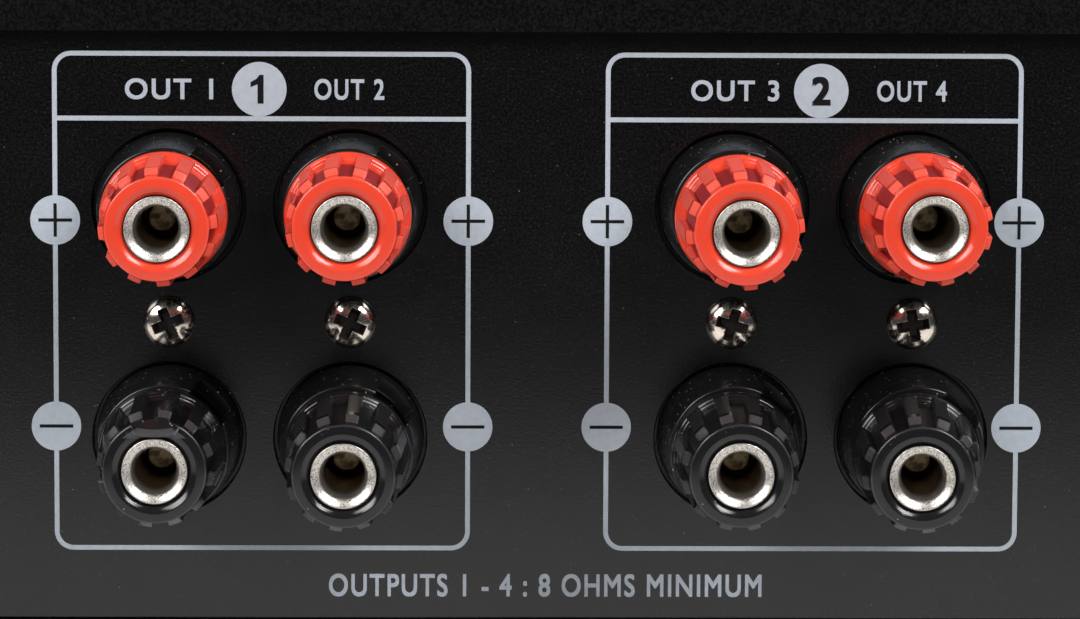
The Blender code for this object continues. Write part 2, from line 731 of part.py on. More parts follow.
def prism(outline, span):
    """A flat outline extruded through the span in z."""
    curve = bpy.data.curves.new("outline", "CURVE")
    curve.dimensions = "2D"
    curve.fill_mode = "BOTH"
    curve.extrude = (span[1] - span[0]) / 2
    spline = curve.splines.new("POLY")
    spline.points.add(len(outline) - 1)
    for point, (x, y) in zip(spline.points, outline):
        point.co = (x, y, 0, 1)
    spline.use_cyclic_u = True
    obj = bpy.data.objects.new("outline", curve)
    bpy.context.scene.collection.objects.link(obj)
    mesh = evaluated_mesh(obj)
    bm = bmesh.new()
    bm.from_mesh(mesh)
    bmesh.ops.remove_doubles(bm, verts=bm.verts, dist=MERGE_DISTANCE)
    bmesh.ops.translate(bm, verts=bm.verts, vec=(0, 0, (span[0] + span[1]) / 2))
    return mesh_from(bm, "prism")


def fuse_drawer():
    """Drawer for the mains fuse, with a finger lip on its front, centred on its slot."""
    front = CLEARANCE + INLET_FLANGE + CLEARANCE
    half_x = DRAWER_WIDTH / 2
    half_y = DRAWER_HEIGHT / 2
    tray = boxes(((-half_x, half_x), (-half_y, half_y), (front - DRAWER_DEPTH, front + DRAWER_PULL / 2)))
    pull = boxes(
        (
            (-half_x - DRAWER_LIP, half_x + DRAWER_LIP),
            (-half_y - DRAWER_LIP, half_y + DRAWER_LIP),
            (front, front + DRAWER_PULL),
        )
    )
    fuse_end = front - DRAWER_LIP
    fuse_bed = boxes(
        ((DRAWER_LIP - half_x, half_x - DRAWER_LIP), (0, DRAWER_HEIGHT), (fuse_end - FUSE_LENGTH, fuse_end))
    )
    return cut(joined(tray, eased(pull, CLEARANCE)), fuse_bed)


def input_socket():
    """Turned phono socket: barrel, flange against the panel and a contact tail inside."""
    seat = CLEARANCE
    end = seat + INPUT_LENGTH
    face = end - INPUT_MOUTH_DEPTH
    neck = INPUT_RADIUS
    return turned(
        [
            (0, face - INPUT_HOLE_DEPTH),
            (INPUT_HOLE_RADIUS, face - INPUT_HOLE_DEPTH),
            (INPUT_HOLE_RADIUS, face),
            (INPUT_MOUTH_RADIUS, face),
            (INPUT_MOUTH_RADIUS, end),
            (INPUT_RADIUS, end),
            (INPUT_RADIUS, seat + INPUT_FLANGE),
            (INPUT_FLANGE_RADIUS, seat + INPUT_FLANGE),
            (INPUT_FLANGE_RADIUS, seat),
            (neck, seat),
            (neck, -INPUT_TAIL),
            (0, -INPUT_TAIL),
        ],
        COARSE_STEPS,
    )


def push_button(radius):
    """Push button with a stem behind it, the faceplate's outer face at z = 0."""
    back = -UPSTAND_BACK
    return turned(
        [
            (0, BUTTON_STAND),
            (radius - BUTTON_EDGE, BUTTON_STAND),
            (radius, BUTTON_STAND - BUTTON_EDGE),
            (radius, back),
            (STEM_RADIUS, back),
            (STEM_RADIUS, back - STEM_LENGTH),
            (0, back - STEM_LENGTH),
        ],
        FINE_STEPS,
    )


def push_switch(radius, xs):
    """Switch body behind the upstand, with a stepped bore for each button at the x places."""
    front = -UPSTAND_BACK - CLEARANCE
    half = radius + RUNNING_FIT + SWITCH_WALL
    body = eased(boxes(((min(xs) - half, max(xs) + half), (-half, half), (front - SWITCH_DEPTH, front))), CLEARANCE)
    room = BUTTON_TRAVEL + RUNNING_FIT
    places = [(x, 0) for x in xs]
    buttons = rods(radius + RUNNING_FIT, (front - room, front + room), places)
    stems = rods(STEM_RADIUS + RUNNING_FIT, (front - STEM_LENGTH - room, front), places, STUD_STEPS)
    return cut(body, buttons, stems)


def level_knob():
    """Turned knob with a skirt and a blind bore for the shaft, the faceplate's outer face at z = 0."""
    top = KNOB_GAP + KNOB_LENGTH
    bore = SHAFT_RADIUS + CLEARANCE / 2
    grip = KNOB_RADIUS - KNOB_SKIRT
    return turned(
        [
            (0, top),
            (grip - KNOB_EDGE, top),
            (grip, top - KNOB_EDGE),
            (grip, KNOB_GAP + KNOB_SKIRT_HEIGHT),
            (KNOB_RADIUS, KNOB_GAP + KNOB_SKIRT_HEIGHT),
            (KNOB_RADIUS, KNOB_GAP),
            (bore, KNOB_GAP),
            (bore, KNOB_GAP + KNOB_BORE_DEPTH),
            (0, KNOB_GAP + KNOB_BORE_DEPTH),
        ],
        2 * COARSE_STEPS,
    )


def level_shaft():
    """Shaft that the knob sits on, running in the level control's bush."""
    back = -UPSTAND_BACK - CLEARANCE
    return turned(
        [
            (0, KNOB_GAP + KNOB_BORE_DEPTH - CLEARANCE),
            (SHAFT_RADIUS, KNOB_GAP + KNOB_BORE_DEPTH - CLEARANCE),
            (SHAFT_RADIUS, back - SHAFT_TAIL),
            (0, back - SHAFT_TAIL),
        ],
        COARSE_STEPS,
    )


def level_control():
    """Rotary level control: a round can behind the upstand and a bush through the faceplate."""
    back = -UPSTAND_BACK - CLEARANCE
    bore = SHAFT_RADIUS + RUNNING_FIT
    return turned(
        [
            (0, back - SHAFT_TAIL - RUNNING_FIT),
            (bore, back - SHAFT_TAIL - RUNNING_FIT),
            (bore, -BUSH_SETBACK),
            (BUSH_RADIUS, -BUSH_SETBACK),
            (BUSH_RADIUS, back),
            (POT_RADIUS, back),
            (POT_RADIUS, back - POT_LENGTH),
            (0, back - POT_LENGTH),
        ],
        FINE_STEPS,
    )


def indicator_lens():
    """Indicator lamp with a domed end and a flange behind the upstand."""
    back = -UPSTAND_BACK - CLEARANCE
    rim = LENS_RADIUS + LENS_FLANGE
    return turned(
        [
            (0, LENS_RADIUS),
            (LENS_RADIUS * math.sin(math.pi / 4), LENS_RADIUS * math.cos(math.pi / 4)),
            (LENS_RADIUS, 0),
            (LENS_RADIUS, back),
            (rim, back),
            (rim, back - LENS_TAIL),
            (0, back - LENS_TAIL),
        ],
        COARSE_STEPS,
    )


def amplifier_board():
    board = boxes(
        (
            (BOARD_LEFT, BOARD_RIGHT),
            (MID_Y - BOARD_LENGTH / 2, MID_Y + BOARD_LENGTH / 2),
            (BOARD_BOTTOM, BOARD_TOP),
        )
    )
    span = (BOARD_BOTTOM - BOARD_THICKNESS, BOARD_TOP + BOARD_THICKNESS)
    return cut(board, rods(STANDOFF_HOLE_RADIUS, span, standoff_places(), STUD_STEPS))


def heatsink():
    """Extruded aluminium heatsink: a base towards the board and fins towards the side of the case."""
    low = PAN_TOP + CLEARANCE
    half = HEATSINK_LENGTH / 2
    block = boxes(
        ((HEATSINK_INNER, HEATSINK_OUTER), (MID_Y - half, MID_Y + half), (low, low + HEATSINK_HEIGHT))
    )
    gap_count = int((HEATSINK_LENGTH - FIN_THICKNESS) / FIN_PITCH)
    first = MID_Y - FIN_PITCH * (gap_count - 1) / 2
    half_gap = (FIN_PITCH - FIN_THICKNESS) / 2
    gaps = []
    for i in range(gap_count):
        y = first + i * FIN_PITCH
        gaps.append(
            (
                (HEATSINK_INNER + HEATSINK_BASE, HEATSINK_OUTER + HEATSINK_BASE),
                (y - half_gap, y + half_gap),
                (low - HEATSINK_BASE, low + HEATSINK_HEIGHT + HEATSINK_BASE),
            )
        )
    return cut(block, boxes(*gaps))


def power_chip():
    """Flat power chip on its heatsink, leads down to the board, the board's top at z = 0."""
    low = CLEARANCE + LEAD_LENGTH
    body = eased(
        boxes(((-CHIP_THICKNESS / 2, CHIP_THICKNESS / 2), (-CHIP_WIDTH / 2, CHIP_WIDTH / 2), (low, low + CHIP_HEIGHT))),
        CLEARANCE,
    )
    leads = []
    for i in range(LEAD_COUNT):
        y = (i - (LEAD_COUNT - 1) / 2) * LEAD_PITCH
        leads.append(
            (
                (-LEAD_WIDTH / 2, LEAD_WIDTH / 2),
                (y - LEAD_WIDTH / 2, y + LEAD_WIDTH / 2),
                (CLEARANCE, low + CHIP_HEIGHT / 2),
            )
        )
    return joined(body, boxes(*leads))


def reservoir_capacitor():
    """Upright can with an eased rim, the board's top at z = 0."""
    top = CLEARANCE + CAPACITOR_HEIGHT
    return turned(
        [
            (0, top),
            (CAPACITOR_RADIUS - CAPACITOR_EDGE, top),
            (CAPACITOR_RADIUS, top - CAPACITOR_EDGE),
            (CAPACITOR_RADIUS, CLEARANCE),
            (0, CLEARANCE),
        ],
        FINE_STEPS,
    )


def bridge_rectifier():
    """Flat upright rectifier with one cut corner, the board's top at z = 0."""
    half = RECTIFIER_WIDTH / 2
    plate = prism(
        [
            (-half, 0),
            (half, 0),
            (half, RECTIFIER_HEIGHT),
            (RECTIFIER_CORNER - half, RECTIFIER_HEIGHT),
            (-half, RECTIFIER_HEIGHT - RECTIFIER_CORNER),
        ],
        (-RECTIFIER_THICKNESS / 2, RECTIFIER_THICKNESS / 2),
    )
    return moved(plate, Matrix.Translation((0, 0, CLEARANCE)) @ Matrix.Rotation(math.pi / 2, 4, "X"))


def transformer_core():
    """Laminated core with two windows and mounting tabs, its underside at z = 0."""
    half_x = CORE_BLOCK_WIDTH / 2
    half_y = CORE_BLOCK_STACK / 2
    block = boxes(((-half_x, half_x), (-half_y, half_y), (0, CORE_BLOCK_HEIGHT)))
    tabs = boxes(((-half_x - TAB_LENGTH, half_x + TAB_LENGTH), (-half_y, half_y), (0, TAB_THICKNESS)))
    windows = []
    for side in (-1, 1):
        near = side * CENTRE_LEG / 2
        far = side * (half_x - CORE_LEG)
        windows.append(
            (
                (min(near, far), max(near, far)),
                (-CORE_BLOCK_STACK, CORE_BLOCK_STACK),
                (CORE_LEG, CORE_BLOCK_HEIGHT - CORE_LEG),
            )
        )
    return cut(joined(block, tabs), boxes(*windows))


def transformer_coil():
    """Taped winding round the centre leg, in the same frame as the core."""
    half_x = CORE_BLOCK_WIDTH / 2 - CORE_LEG - CLEARANCE
    half_y = CORE_BLOCK_STACK / 2 + COIL_OVERHANG
    span = (CORE_LEG + CLEARANCE, CORE_BLOCK_HEIGHT - CORE_LEG - CLEARANCE)
    winding = eased(boxes(((-half_x, half_x), (-half_y, half_y), span)), COIL_CORNER, 2)
    leg_x = CENTRE_LEG / 2 + CLEARANCE
    leg_y = CORE_BLOCK_STACK / 2 + CLEARANCE
    return cut(winding, boxes(((-leg_x, leg_x), (-leg_y, leg_y), (0, CORE_BLOCK_HEIGHT))))


def front_matrix():
    return Matrix.Translation((0, FACE_FRONT, FACE_MID)) @ Euler((math.pi / 2, 0, 0)).to_matrix().to_4x4()


class Bench:
    """Puts finished meshes into the model: one object for each part, with its finish."""

    def __init__(self):
        self.parts = make_collection("power_amplifier")
        self.finishes = make_finishes()

    def frame(self, name, location, rotation=(0, 0, 0), parent=None):
        return make_frame(name, location, rotation, self.parts, parent)

    def place(self, name, mesh, finish, parent=None, location=(0, 0, 0)):
        obj = bpy.data.objects.new(name, mesh)
        obj.location = location
        obj.parent = parent
        if not mesh.materials:
            mesh.materials.append(self.finishes[finish])
        obj.material_slots[0].link = "OBJECT"
        obj.material_slots[0].material = self.finishes[finish]
        mesh.shade_smooth()
        mesh.set_sharp_from_angle(angle=math.radians(30))
        self.parts.objects.link(obj)
        return obj


def build_case(bench, rear, front):
    bench.place("chassis_pan", chassis_pan(), "black_coat")
    bench.place("rear_panel", rear_panel(), "black_coat", rear)
    bench.place("faceplate", faceplate(), "black_anodised", front)
    bench.place("top_cover", top_cover(), "black_coat")
    foot_mesh = foot()
    for name, (x, y) in foot_places().items():
        bench.place(f"foot_{name}", foot_mesh, "rubber", location=(x, y, BASE_Z - CLEARANCE))


def build_terminals(bench, rear):
    block_mesh = terminal_block()
    for name, x in BLOCK_XS.items():
        bench.place(f"terminal_block_{name}", block_mesh, "black_plastic", rear, (x, 0, 0))
    screw_mesh = terminal_screw()
    for name, (x, y) in terminal_screw_places().items():
        bench.place(f"terminal_screw_{name}", screw_mesh, "nickel", rear, (x, y, 0))
    stud_mesh = stud()
    core_mesh = cap_core()
    cap_mesh = screw_cap()
    for name, row, x, y in post_places():
        about_x, about_y = POST_LEAN[name]
        lean = (math.radians(about_x), math.radians(about_y), 0)
        post = bench.frame(f"post_{name}", (x, y, 0), lean, rear)
        bench.place(f"stud_{name}", stud_mesh, "nickel", post)
        bench.place(f"core_{name}", core_mesh, "nickel", post)
        bench.place(f"cap_{name}", cap_mesh, "red_plastic" if row == "plus" else "black_plastic", post)


def build_rear_sockets(bench, rear):
    bench.place("mains_inlet", mains_inlet(), "black_plastic", rear, (INLET_X, 0, 0))
    bench.place("fuse_drawer", fuse_drawer(), "black_plastic", rear, (INLET_X, -DRAWER_DROP, 0))
    socket_mesh = input_socket()
    for name, (x, y) in input_places().items():
        finish = "white_plastic" if name == "left" else "red_plastic"
        bench.place(f"input_socket_{name}", socket_mesh, finish, rear, (x, y, 0))


def build_controls(bench, front):
    bench.place("power_button", push_button(POWER_RADIUS), "aluminium", front, (POWER_X, 0, 0))
    bench.place("power_switch", push_switch(POWER_RADIUS, [POWER_X]), "black_plastic", front)
    button_mesh = push_button(SPEAKER_RADIUS)
    for name, x in SPEAKER_XS.items():
        bench.place(f"speaker_button_{name}", button_mesh, "aluminium", front, (x, 0, 0))
    switch_mesh = push_switch(SPEAKER_RADIUS, list(SPEAKER_XS.values()))
    bench.place("speaker_switch", switch_mesh, "black_plastic", front)
    bench.place("level_knob", level_knob(), "aluminium", front, (KNOB_X, 0, 0))
    bench.place("level_shaft", level_shaft(), "aluminium", front, (KNOB_X, 0, 0))
    bench.place("level_control", level_control(), "lamination", front, (KNOB_X, 0, 0))
    bench.place("indicator_lens", indicator_lens(), "green_lens", front, (LENS_X, 0, 0))


def build_inside(bench):
    core_base = (TRANSFORMER_X, MID_Y, PAN_TOP + CLEARANCE)
    bench.place("transformer_core", transformer_core(), "lamination", location=core_base)
    bench.place("transformer_coil", transformer_coil(), "coil_tape", location=core_base)
    bench.place("amplifier_board", amplifier_board(), "green_board")
    bench.place("heatsink", heatsink(), "black_anodised")
    chip_mesh = power_chip()
    chip_x = HEATSINK_INNER - CLEARANCE - CHIP_THICKNESS / 2
    capacitor_mesh = reservoir_capacitor()
    capacitor_x = BOARD_LEFT + CAPACITOR_INSET
    for number, side in ((1, -1), (2, 1)):
        chip_y = MID_Y + side * CHIP_PITCH / 2
        bench.place(f"power_chip_{number}", chip_mesh, "black_plastic", location=(chip_x, chip_y, BOARD_TOP))
        can_y = MID_Y + side * CAPACITOR_PITCH / 2
        bench.place(
            f"reservoir_capacitor_{number}",
            capacitor_mesh,
            "capacitor_sleeve",
            location=(capacitor_x, can_y, BOARD_TOP),
        )
    rectifier_place = (BOARD_LEFT + RECTIFIER_INSET, MID_Y, BOARD_TOP)
    bench.place("bridge_rectifier", bridge_rectifier(), "black_plastic", location=rectifier_place)


def main():
    clear_scene()
    bench = Bench()
    rear_place = (0, PANEL_FACE, BASE_Z + POST_ROW_HEIGHT)
    rear = bench.frame("rear_frame", rear_place, (math.pi / 2, 0, math.pi))
    front = bench.frame("front_frame", (0, FACE_FRONT, FACE_MID), (math.pi / 2, 0, 0))
    build_case(bench, rear, front)
    build_terminals(bench, rear)
    build_rear_sockets(bench, rear)
    build_controls(bench, front)
    build_inside(bench)


main()
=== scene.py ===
import json
import math

import bmesh
import bpy
from mathutils import Matrix, Vector


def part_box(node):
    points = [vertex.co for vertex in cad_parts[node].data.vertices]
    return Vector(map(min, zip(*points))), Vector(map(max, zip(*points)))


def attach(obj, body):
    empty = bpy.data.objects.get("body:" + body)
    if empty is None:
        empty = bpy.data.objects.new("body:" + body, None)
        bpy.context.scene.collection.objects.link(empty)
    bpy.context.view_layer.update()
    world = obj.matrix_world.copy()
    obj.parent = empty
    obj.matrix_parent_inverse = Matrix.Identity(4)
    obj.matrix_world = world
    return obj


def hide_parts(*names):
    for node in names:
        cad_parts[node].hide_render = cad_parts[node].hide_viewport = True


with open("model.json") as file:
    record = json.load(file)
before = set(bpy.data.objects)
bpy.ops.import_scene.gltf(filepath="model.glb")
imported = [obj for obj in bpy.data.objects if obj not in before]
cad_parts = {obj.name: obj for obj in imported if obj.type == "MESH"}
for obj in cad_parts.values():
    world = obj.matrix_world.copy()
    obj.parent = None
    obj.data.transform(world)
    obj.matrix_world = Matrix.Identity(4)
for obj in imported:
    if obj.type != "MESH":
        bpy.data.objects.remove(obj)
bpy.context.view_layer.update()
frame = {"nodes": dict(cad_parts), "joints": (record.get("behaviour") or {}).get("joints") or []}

MM = 0.001

# Studio. A pale table top stands in dim air under six soft boxes: two above the rear corners, two at
# the front and one at each side. The camera looks down a little on the middle of the rear panel.
EYE = Vector((8.4, 623.0, 101.5)) * MM
AIM = Vector((0.1, 101.6, 41.8)) * MM
CAMERA_ROLL = math.radians(0.26)
LENS_MM = 166.7
SENSOR_MM = 36
TABLE_HALF = 9.0
TABLE_COLOUR = (0.81, 0.805, 0.80)
TABLE_DARK = (0.79, 0.785, 0.78)
TABLE_LIGHT = (0.83, 0.825, 0.82)
TABLE_CLOUDS = 0.35
AIR_COLOUR = (0.92, 0.96, 1.0)
AIR_STRENGTH = 0.046
# Each lamp's place and aim in metres, its width, the angle it spreads over and its power
SOFT_BOXES = {
    "rear_west": ((-0.30, 0.36, 0.44), (0, 0.06, 0.04), 0.30, 62, 0.475),
    "rear_east": ((0.33, 0.36, 0.33), (0, 0.06, 0.04), 0.30, 62, 0.335),
    "front_west": ((-0.45, -0.50, 0.55), (0, -0.11, 0.03), 0.35, 46, 0.36),
    "front_east": ((0.45, -0.50, 0.42), (0, -0.11, 0.03), 0.35, 46, 0.26),
    "side_west": ((-0.62, -0.06, 0.34), (-0.15, -0.03, 0.04), 0.30, 46, 0.18),
    "side_east": ((0.62, -0.06, 0.30), (0.15, -0.03, 0.04), 0.30, 46, 0.15),
}
LAMP_COLOUR = (1.0, 0.995, 0.985)


class Finish:
    """A surface finish: one shader, and the textures that vary it, measured on the piece in metres."""

    def __init__(self, name, colour, roughness, metal=0.0):
        self.material = bpy.data.materials.new(name)
        self.material.use_nodes = True
        self.tree = self.material.node_tree
        self.shader = self.tree.nodes["Principled BSDF"]
        self.shader.inputs["Base Color"].default_value = (*colour, 1)
        self.shader.inputs["Roughness"].default_value = roughness
        self.shader.inputs["Metallic"].default_value = metal
        self.place = self.node("TexCoord").outputs["Object"]

    def node(self, kind, sockets=None, **settings):
        node = self.tree.nodes.new("ShaderNode" + kind)
        for key, value in settings.items():
            setattr(node, key, value)
        for key, value in (sockets or {}).items():
            if isinstance(value, bpy.types.NodeSocket):
                self.tree.links.new(value, node.inputs[key])
            else:
                node.inputs[key].default_value = value
        return node

    def stretched(self, size, stretch=(1, 1, 1)):
        """The place on the piece, counted in steps of the size."""
        steps = [share / size for share in stretch]
        return self.node("VectorMath", {0: self.place, 1: steps}, operation="MULTIPLY").outputs[0]

    def noise(self, size, detail=2.0, stretch=(1, 1, 1)):
        """Soft mottling from 0 to 1, with blotches of about the size."""
        sockets = {"Vector": self.stretched(size, stretch), "Scale": 1.0, "Detail": detail}
        return self.node("TexNoise", sockets).outputs[0]

    def specks(self, spacing, radius, share):
        """1 on scattered spots and 0 between them; the share says how many of the spots are kept."""
        cells = self.node("TexVoronoi", {"Vector": self.stretched(spacing), "Scale": 1.0})
        near = self.node("Math", {0: cells.outputs["Distance"], 1: radius / spacing}, operation="LESS_THAN")
        kept = self.node("Math", {0: cells.outputs["Color"], 1: share}, operation="LESS_THAN")
        return self.product(near.outputs[0], kept.outputs[0])

    def folded(self, operation, values):
        result = values[0]
        for value in values[1:]:
            result = self.node("Math", {0: result, 1: value}, operation=operation).outputs[0]
        return result

    def product(self, *values):
        return self.folded("MULTIPLY", values)

    def largest(self, *values):
        return self.folded("MAXIMUM", values)

    def along(self, axis):
        return self.node("SeparateXYZ", {0: self.place}).outputs[axis]

    def from_axis(self):
        """The distance from the piece's own z axis."""
        flat = self.node("VectorMath", {0: self.place, 1: (1, 1, 0)}, operation="MULTIPLY").outputs[0]
        return self.node("VectorMath", {0: flat}, operation="LENGTH").outputs["Value"]

    def between(self, value, low, high, start=0.0, end=1.0):
        """Goes from start to end while the value goes from low to high."""
        sockets = {"Value": value, 1: low, 2: high, 3: start, 4: end}
        return self.node("MapRange", sockets, interpolation_type="SMOOTHSTEP").outputs[0]

    def fade(self, value, low, high):
        """Goes from 1 to 0 while the value goes from low to high."""
        return self.between(value, low, high, 1.0, 0.0)

    def blend(self, factor, first, second):
        sides = {0: factor}
        for socket, colour in ((6, first), (7, second)):
            sides[socket] = colour if isinstance(colour, bpy.types.NodeSocket) else (*colour, 1)
        return self.node("Mix", sides, data_type="RGBA").outputs[2]

    def drive(self, socket, source):
        self.tree.links.new(source, self.shader.inputs[socket])
        return self

    def paint(self, factor, first, second):
        """Colours the surface with the first tone where the factor is 0, and the second where it is 1."""
        return self.drive("Base Color", self.blend(factor, first, second))

    def painted(self):
        """The tone that the surface has been given so far."""
        return self.shader.inputs["Base Color"].links[0].from_socket

    def polish(self, value, low, high, smooth, dull):
        """Takes the roughness from smooth to dull while the value goes from low to high."""
        return self.drive("Roughness", self.between(value, low, high, smooth, dull))

    def relief(self, height, depth):
        """Raises the surface by up to the depth where the height is 1, over any relief already there."""
        bump = self.node("Bump", {"Height": height, "Distance": depth, "Strength": 1.0})
        under = self.shader.inputs["Normal"].links
        if under:
            self.tree.links.new(under[0].from_socket, bump.inputs["Normal"])
        return self.drive("Normal", bump.outputs[0])


table_top = Finish("table_top", TABLE_COLOUR, 0.6)
table_top.paint(table_top.noise(TABLE_CLOUDS), TABLE_DARK, TABLE_LIGHT)
table_mesh = bpy.data.meshes.new("table")
table_corners = [(-1, -1), (1, -1), (1, 1), (-1, 1)]
table_mesh.from_pydata([(x * TABLE_HALF, y * TABLE_HALF, 0) for x, y in table_corners], [], [(0, 1, 2, 3)])
table_mesh.materials.append(table_top.material)
table = bpy.data.objects.new("table", table_mesh)
bpy.context.scene.collection.objects.link(table)

air = bpy.data.worlds.new("studio_air")
air.use_nodes = True
air.node_tree.nodes["Background"].inputs["Color"].default_value = (*AIR_COLOUR, 1)
air.node_tree.nodes["Background"].inputs["Strength"].default_value = AIR_STRENGTH
bpy.context.scene.world = air
bpy.context.scene.view_settings.view_transform = "Standard"

for lamp_name, (lamp_place, lamp_aim, lamp_width, lamp_spread, lamp_power) in SOFT_BOXES.items():
    lamp_data = bpy.data.lights.new(lamp_name, "AREA")
    lamp_data.size = lamp_width
    lamp_data.spread = math.radians(lamp_spread)
    lamp_data.energy = lamp_power
    lamp_data.color = LAMP_COLOUR
    lamp = bpy.data.objects.new(lamp_name, lamp_data)
    lamp.location = lamp_place
    lamp.rotation_euler = (Vector(lamp_aim) - Vector(lamp_place)).to_track_quat("-Z", "Y").to_euler()
    bpy.context.scene.collection.objects.link(lamp)

camera_data = bpy.data.cameras.new("rear_camera")
camera_data.sensor_width = SENSOR_MM
camera_data.lens = LENS_MM
camera_data.clip_start = 0.01
camera = bpy.data.objects.new("rear_camera", camera_data)
camera_turn = (AIM - EYE).to_track_quat("-Z", "Y").to_matrix().to_4x4()
camera.matrix_world = Matrix.Translation(EYE) @ camera_turn @ Matrix.Rotation(CAMERA_ROLL, 4, "Z")
bpy.context.scene.collection.objects.link(camera)
bpy.context.scene.camera = camera


# Chassis pan. A folded tray of sheet steel that everything stands on, with a matt black powder coat
# that has a fine orange-peel grain and a few bright grains in it.
COAT_GRAIN = 0.26 * MM
COAT_RELIEF = 0.008 * MM
SHEET_EDGE = 0.25 * MM


def powder_coat(name, smooth, dull, specular):
    """Fine black grain with pale dust in it; its roughness wanders between smooth and dull."""
    coat = Finish(name, (0.005, 0.005, 0.0053), 0.3)
    grain = coat.noise(COAT_GRAIN, 3)
    tone = coat.blend(coat.between(grain, 0.36, 0.66), (0.0012, 0.0012, 0.0014), (0.0075, 0.0072, 0.0078))
    dust_hue = coat.between(coat.noise(1.1 * MM, 1), 0.4, 0.6)
    dust_tone = coat.blend(dust_hue, (0.04, 0.032, 0.026), (0.034, 0.034, 0.036))
    tone = coat.blend(coat.specks(0.36 * MM, 0.055 * MM, 0.3), tone, dust_tone)
    coat.paint(coat.specks(1.5 * MM, 0.08 * MM, 0.3), tone, (0.11, 0.085, 0.065))
    coat.polish(coat.noise(5 * MM, 3), 0.2, 0.8, smooth, dull)
    coat.shader.inputs["Specular IOR Level"].default_value = specular
    return coat.relief(grain, COAT_RELIEF)


def dress(name, finish, edge=0.0):
    """Gives a CAD node its finish, and rounds its sharp edges."""
    node = frame["nodes"][name]
    for holder in node.material_slots:
        holder.material = finish.material
    weld = node.modifiers.new("Seams", "WELD")
    weld.merge_threshold = 0.001 * MM
    flats = node.modifiers.new("Flats", "DECIMATE")
    flats.decimate_type = "DISSOLVE"
    flats.angle_limit = math.radians(1)
    if edge:
        rounding = node.modifiers.new("Edges", "BEVEL")
        rounding.width = edge
        rounding.segments = 2
        rounding.limit_method = "ANGLE"
        rounding.angle_limit = math.radians(40)
    shading = node.modifiers.new("Shading", "WEIGHTED_NORMAL")
    shading.keep_sharp = True


case_coat = powder_coat("case_coat", 0.38, 0.44, 0.09)
dress("chassis_pan", case_coat, SHEET_EDGE)


# Feet. Four round pads of moulded black rubber under the corners of the pan, each held from below by
# a plated cross screw sunk in its recess.
rubber = Finish("foot_rubber", (0.018, 0.018, 0.018), 0.75)
rubber.paint(rubber.noise(3 * MM, 4), (0.013, 0.013, 0.013), (0.028, 0.027, 0.026))
rubber.relief(rubber.noise(0.5 * MM), 0.03 * MM)
FOOT_RECESS_RADIUS = 5.0 * MM
FOOT_RECESS_DEPTH = 4.5 * MM
FOOT_TAPER = 1.5 * MM
SHARP_ANGLE = math.radians(35)


def eased(corners, steps=4):
    """Points of radius and height; a corner with a third number is rounded over that length."""
    points = []
    for i, (radius, height, *easing) in enumerate(corners):
        here = Vector((radius, height))
        if not easing:
            points.append(here)
            continue
        before = Vector(corners[i - 1][:2]) - here
        after = Vector(corners[(i + 1) % len(corners)][:2]) - here
        start = here + before.normalized() * easing[0]
        end = here + after.normalized() * easing[0]
        for k in range(steps + 1):
            t = k / steps
            points.append((1 - t) ** 2 * start + 2 * t * (1 - t) * here + t * t * end)
    return points


def finished(bm, name, merge=0.0001 * MM):
    """The working mesh as mesh data: welded, facing out and shaded smooth up to its sharp edges."""
    bmesh.ops.remove_doubles(bm, verts=bm.verts, dist=merge)
    bmesh.ops.recalc_face_normals(bm, faces=bm.faces)
    mesh = bpy.data.meshes.new(name)
    bm.to_mesh(mesh)
    bm.free()
    mesh.shade_smooth()
    mesh.set_sharp_from_angle(angle=SHARP_ANGLE)
    return mesh


def swept(section_at, turns, is_ring=False):
    """A mesh swept about z through the turns; section_at gives the points of radius and height at each."""
    bm = bmesh.new()
    rows = []
    for turn in turns:
        across, up = math.cos(turn), math.sin(turn)
        rows.append([bm.verts.new((r * across, r * up, height)) for r, height in section_at(turn)])
    count = len(rows[0])
    for row, after in zip(rows, rows[1:] + rows[:1]):
        for j in range(count if is_ring else count - 1):
            k = (j + 1) % count
            bm.faces.new((row[j], after[j], after[k], row[k]))
    return finished(bm, "swept")


def turned(corners, steps=96, is_ring=False, easing_steps=4):
    """A lathe-turned mesh from its corners."""
    section = eased(corners, easing_steps)
    return swept(lambda turn: section, [math.tau * i / steps for i in range(steps)], is_ring)


def evaluated(obj):
    """The object's mesh with its modifiers applied; the object itself is removed."""
    mesh = bpy.data.meshes.new_from_object(obj.evaluated_get(bpy.context.evaluated_depsgraph_get()))
    bpy.data.objects.remove(obj)
    return mesh


def carved(mesh, operation, *tools, rounding=0.0):
    """The mesh with the tools cut away or joined on, and its new sharp edges rounded."""
    body = bpy.data.objects.new("body", mesh)
    helpers = [bpy.data.objects.new("tool", tool) for tool in tools]
    for obj in (body, *helpers):
        bpy.context.scene.collection.objects.link(obj)
    for helper in helpers:
        boolean = body.modifiers.new("Carve", "BOOLEAN")
        boolean.operation = operation
        boolean.solver = "EXACT"
        boolean.object = helper
    if rounding:
        edges = body.modifiers.new("Edges", "BEVEL")
        edges.width = rounding
        edges.segments = 2
        edges.limit_method = "ANGLE"
        edges.angle_limit = math.radians(50)
    shaped = evaluated(body)
    for helper in helpers:
        bpy.data.objects.remove(helper)
    shaped.shade_smooth()
    shaped.set_sharp_from_angle(angle=SHARP_ANGLE)
    return shaped


def lofted(bm, rings):
    """Walls between rings of points that have the same count; the ends are left open."""
    rows = [[bm.verts.new(point) for point in ring] for ring in rings]
    for low, high in zip(rows, rows[1:]):
        for j in range(len(low)):
            k = (j + 1) % len(low)
            bm.faces.new((low[j], low[k], high[k], high[j]))
    return rows


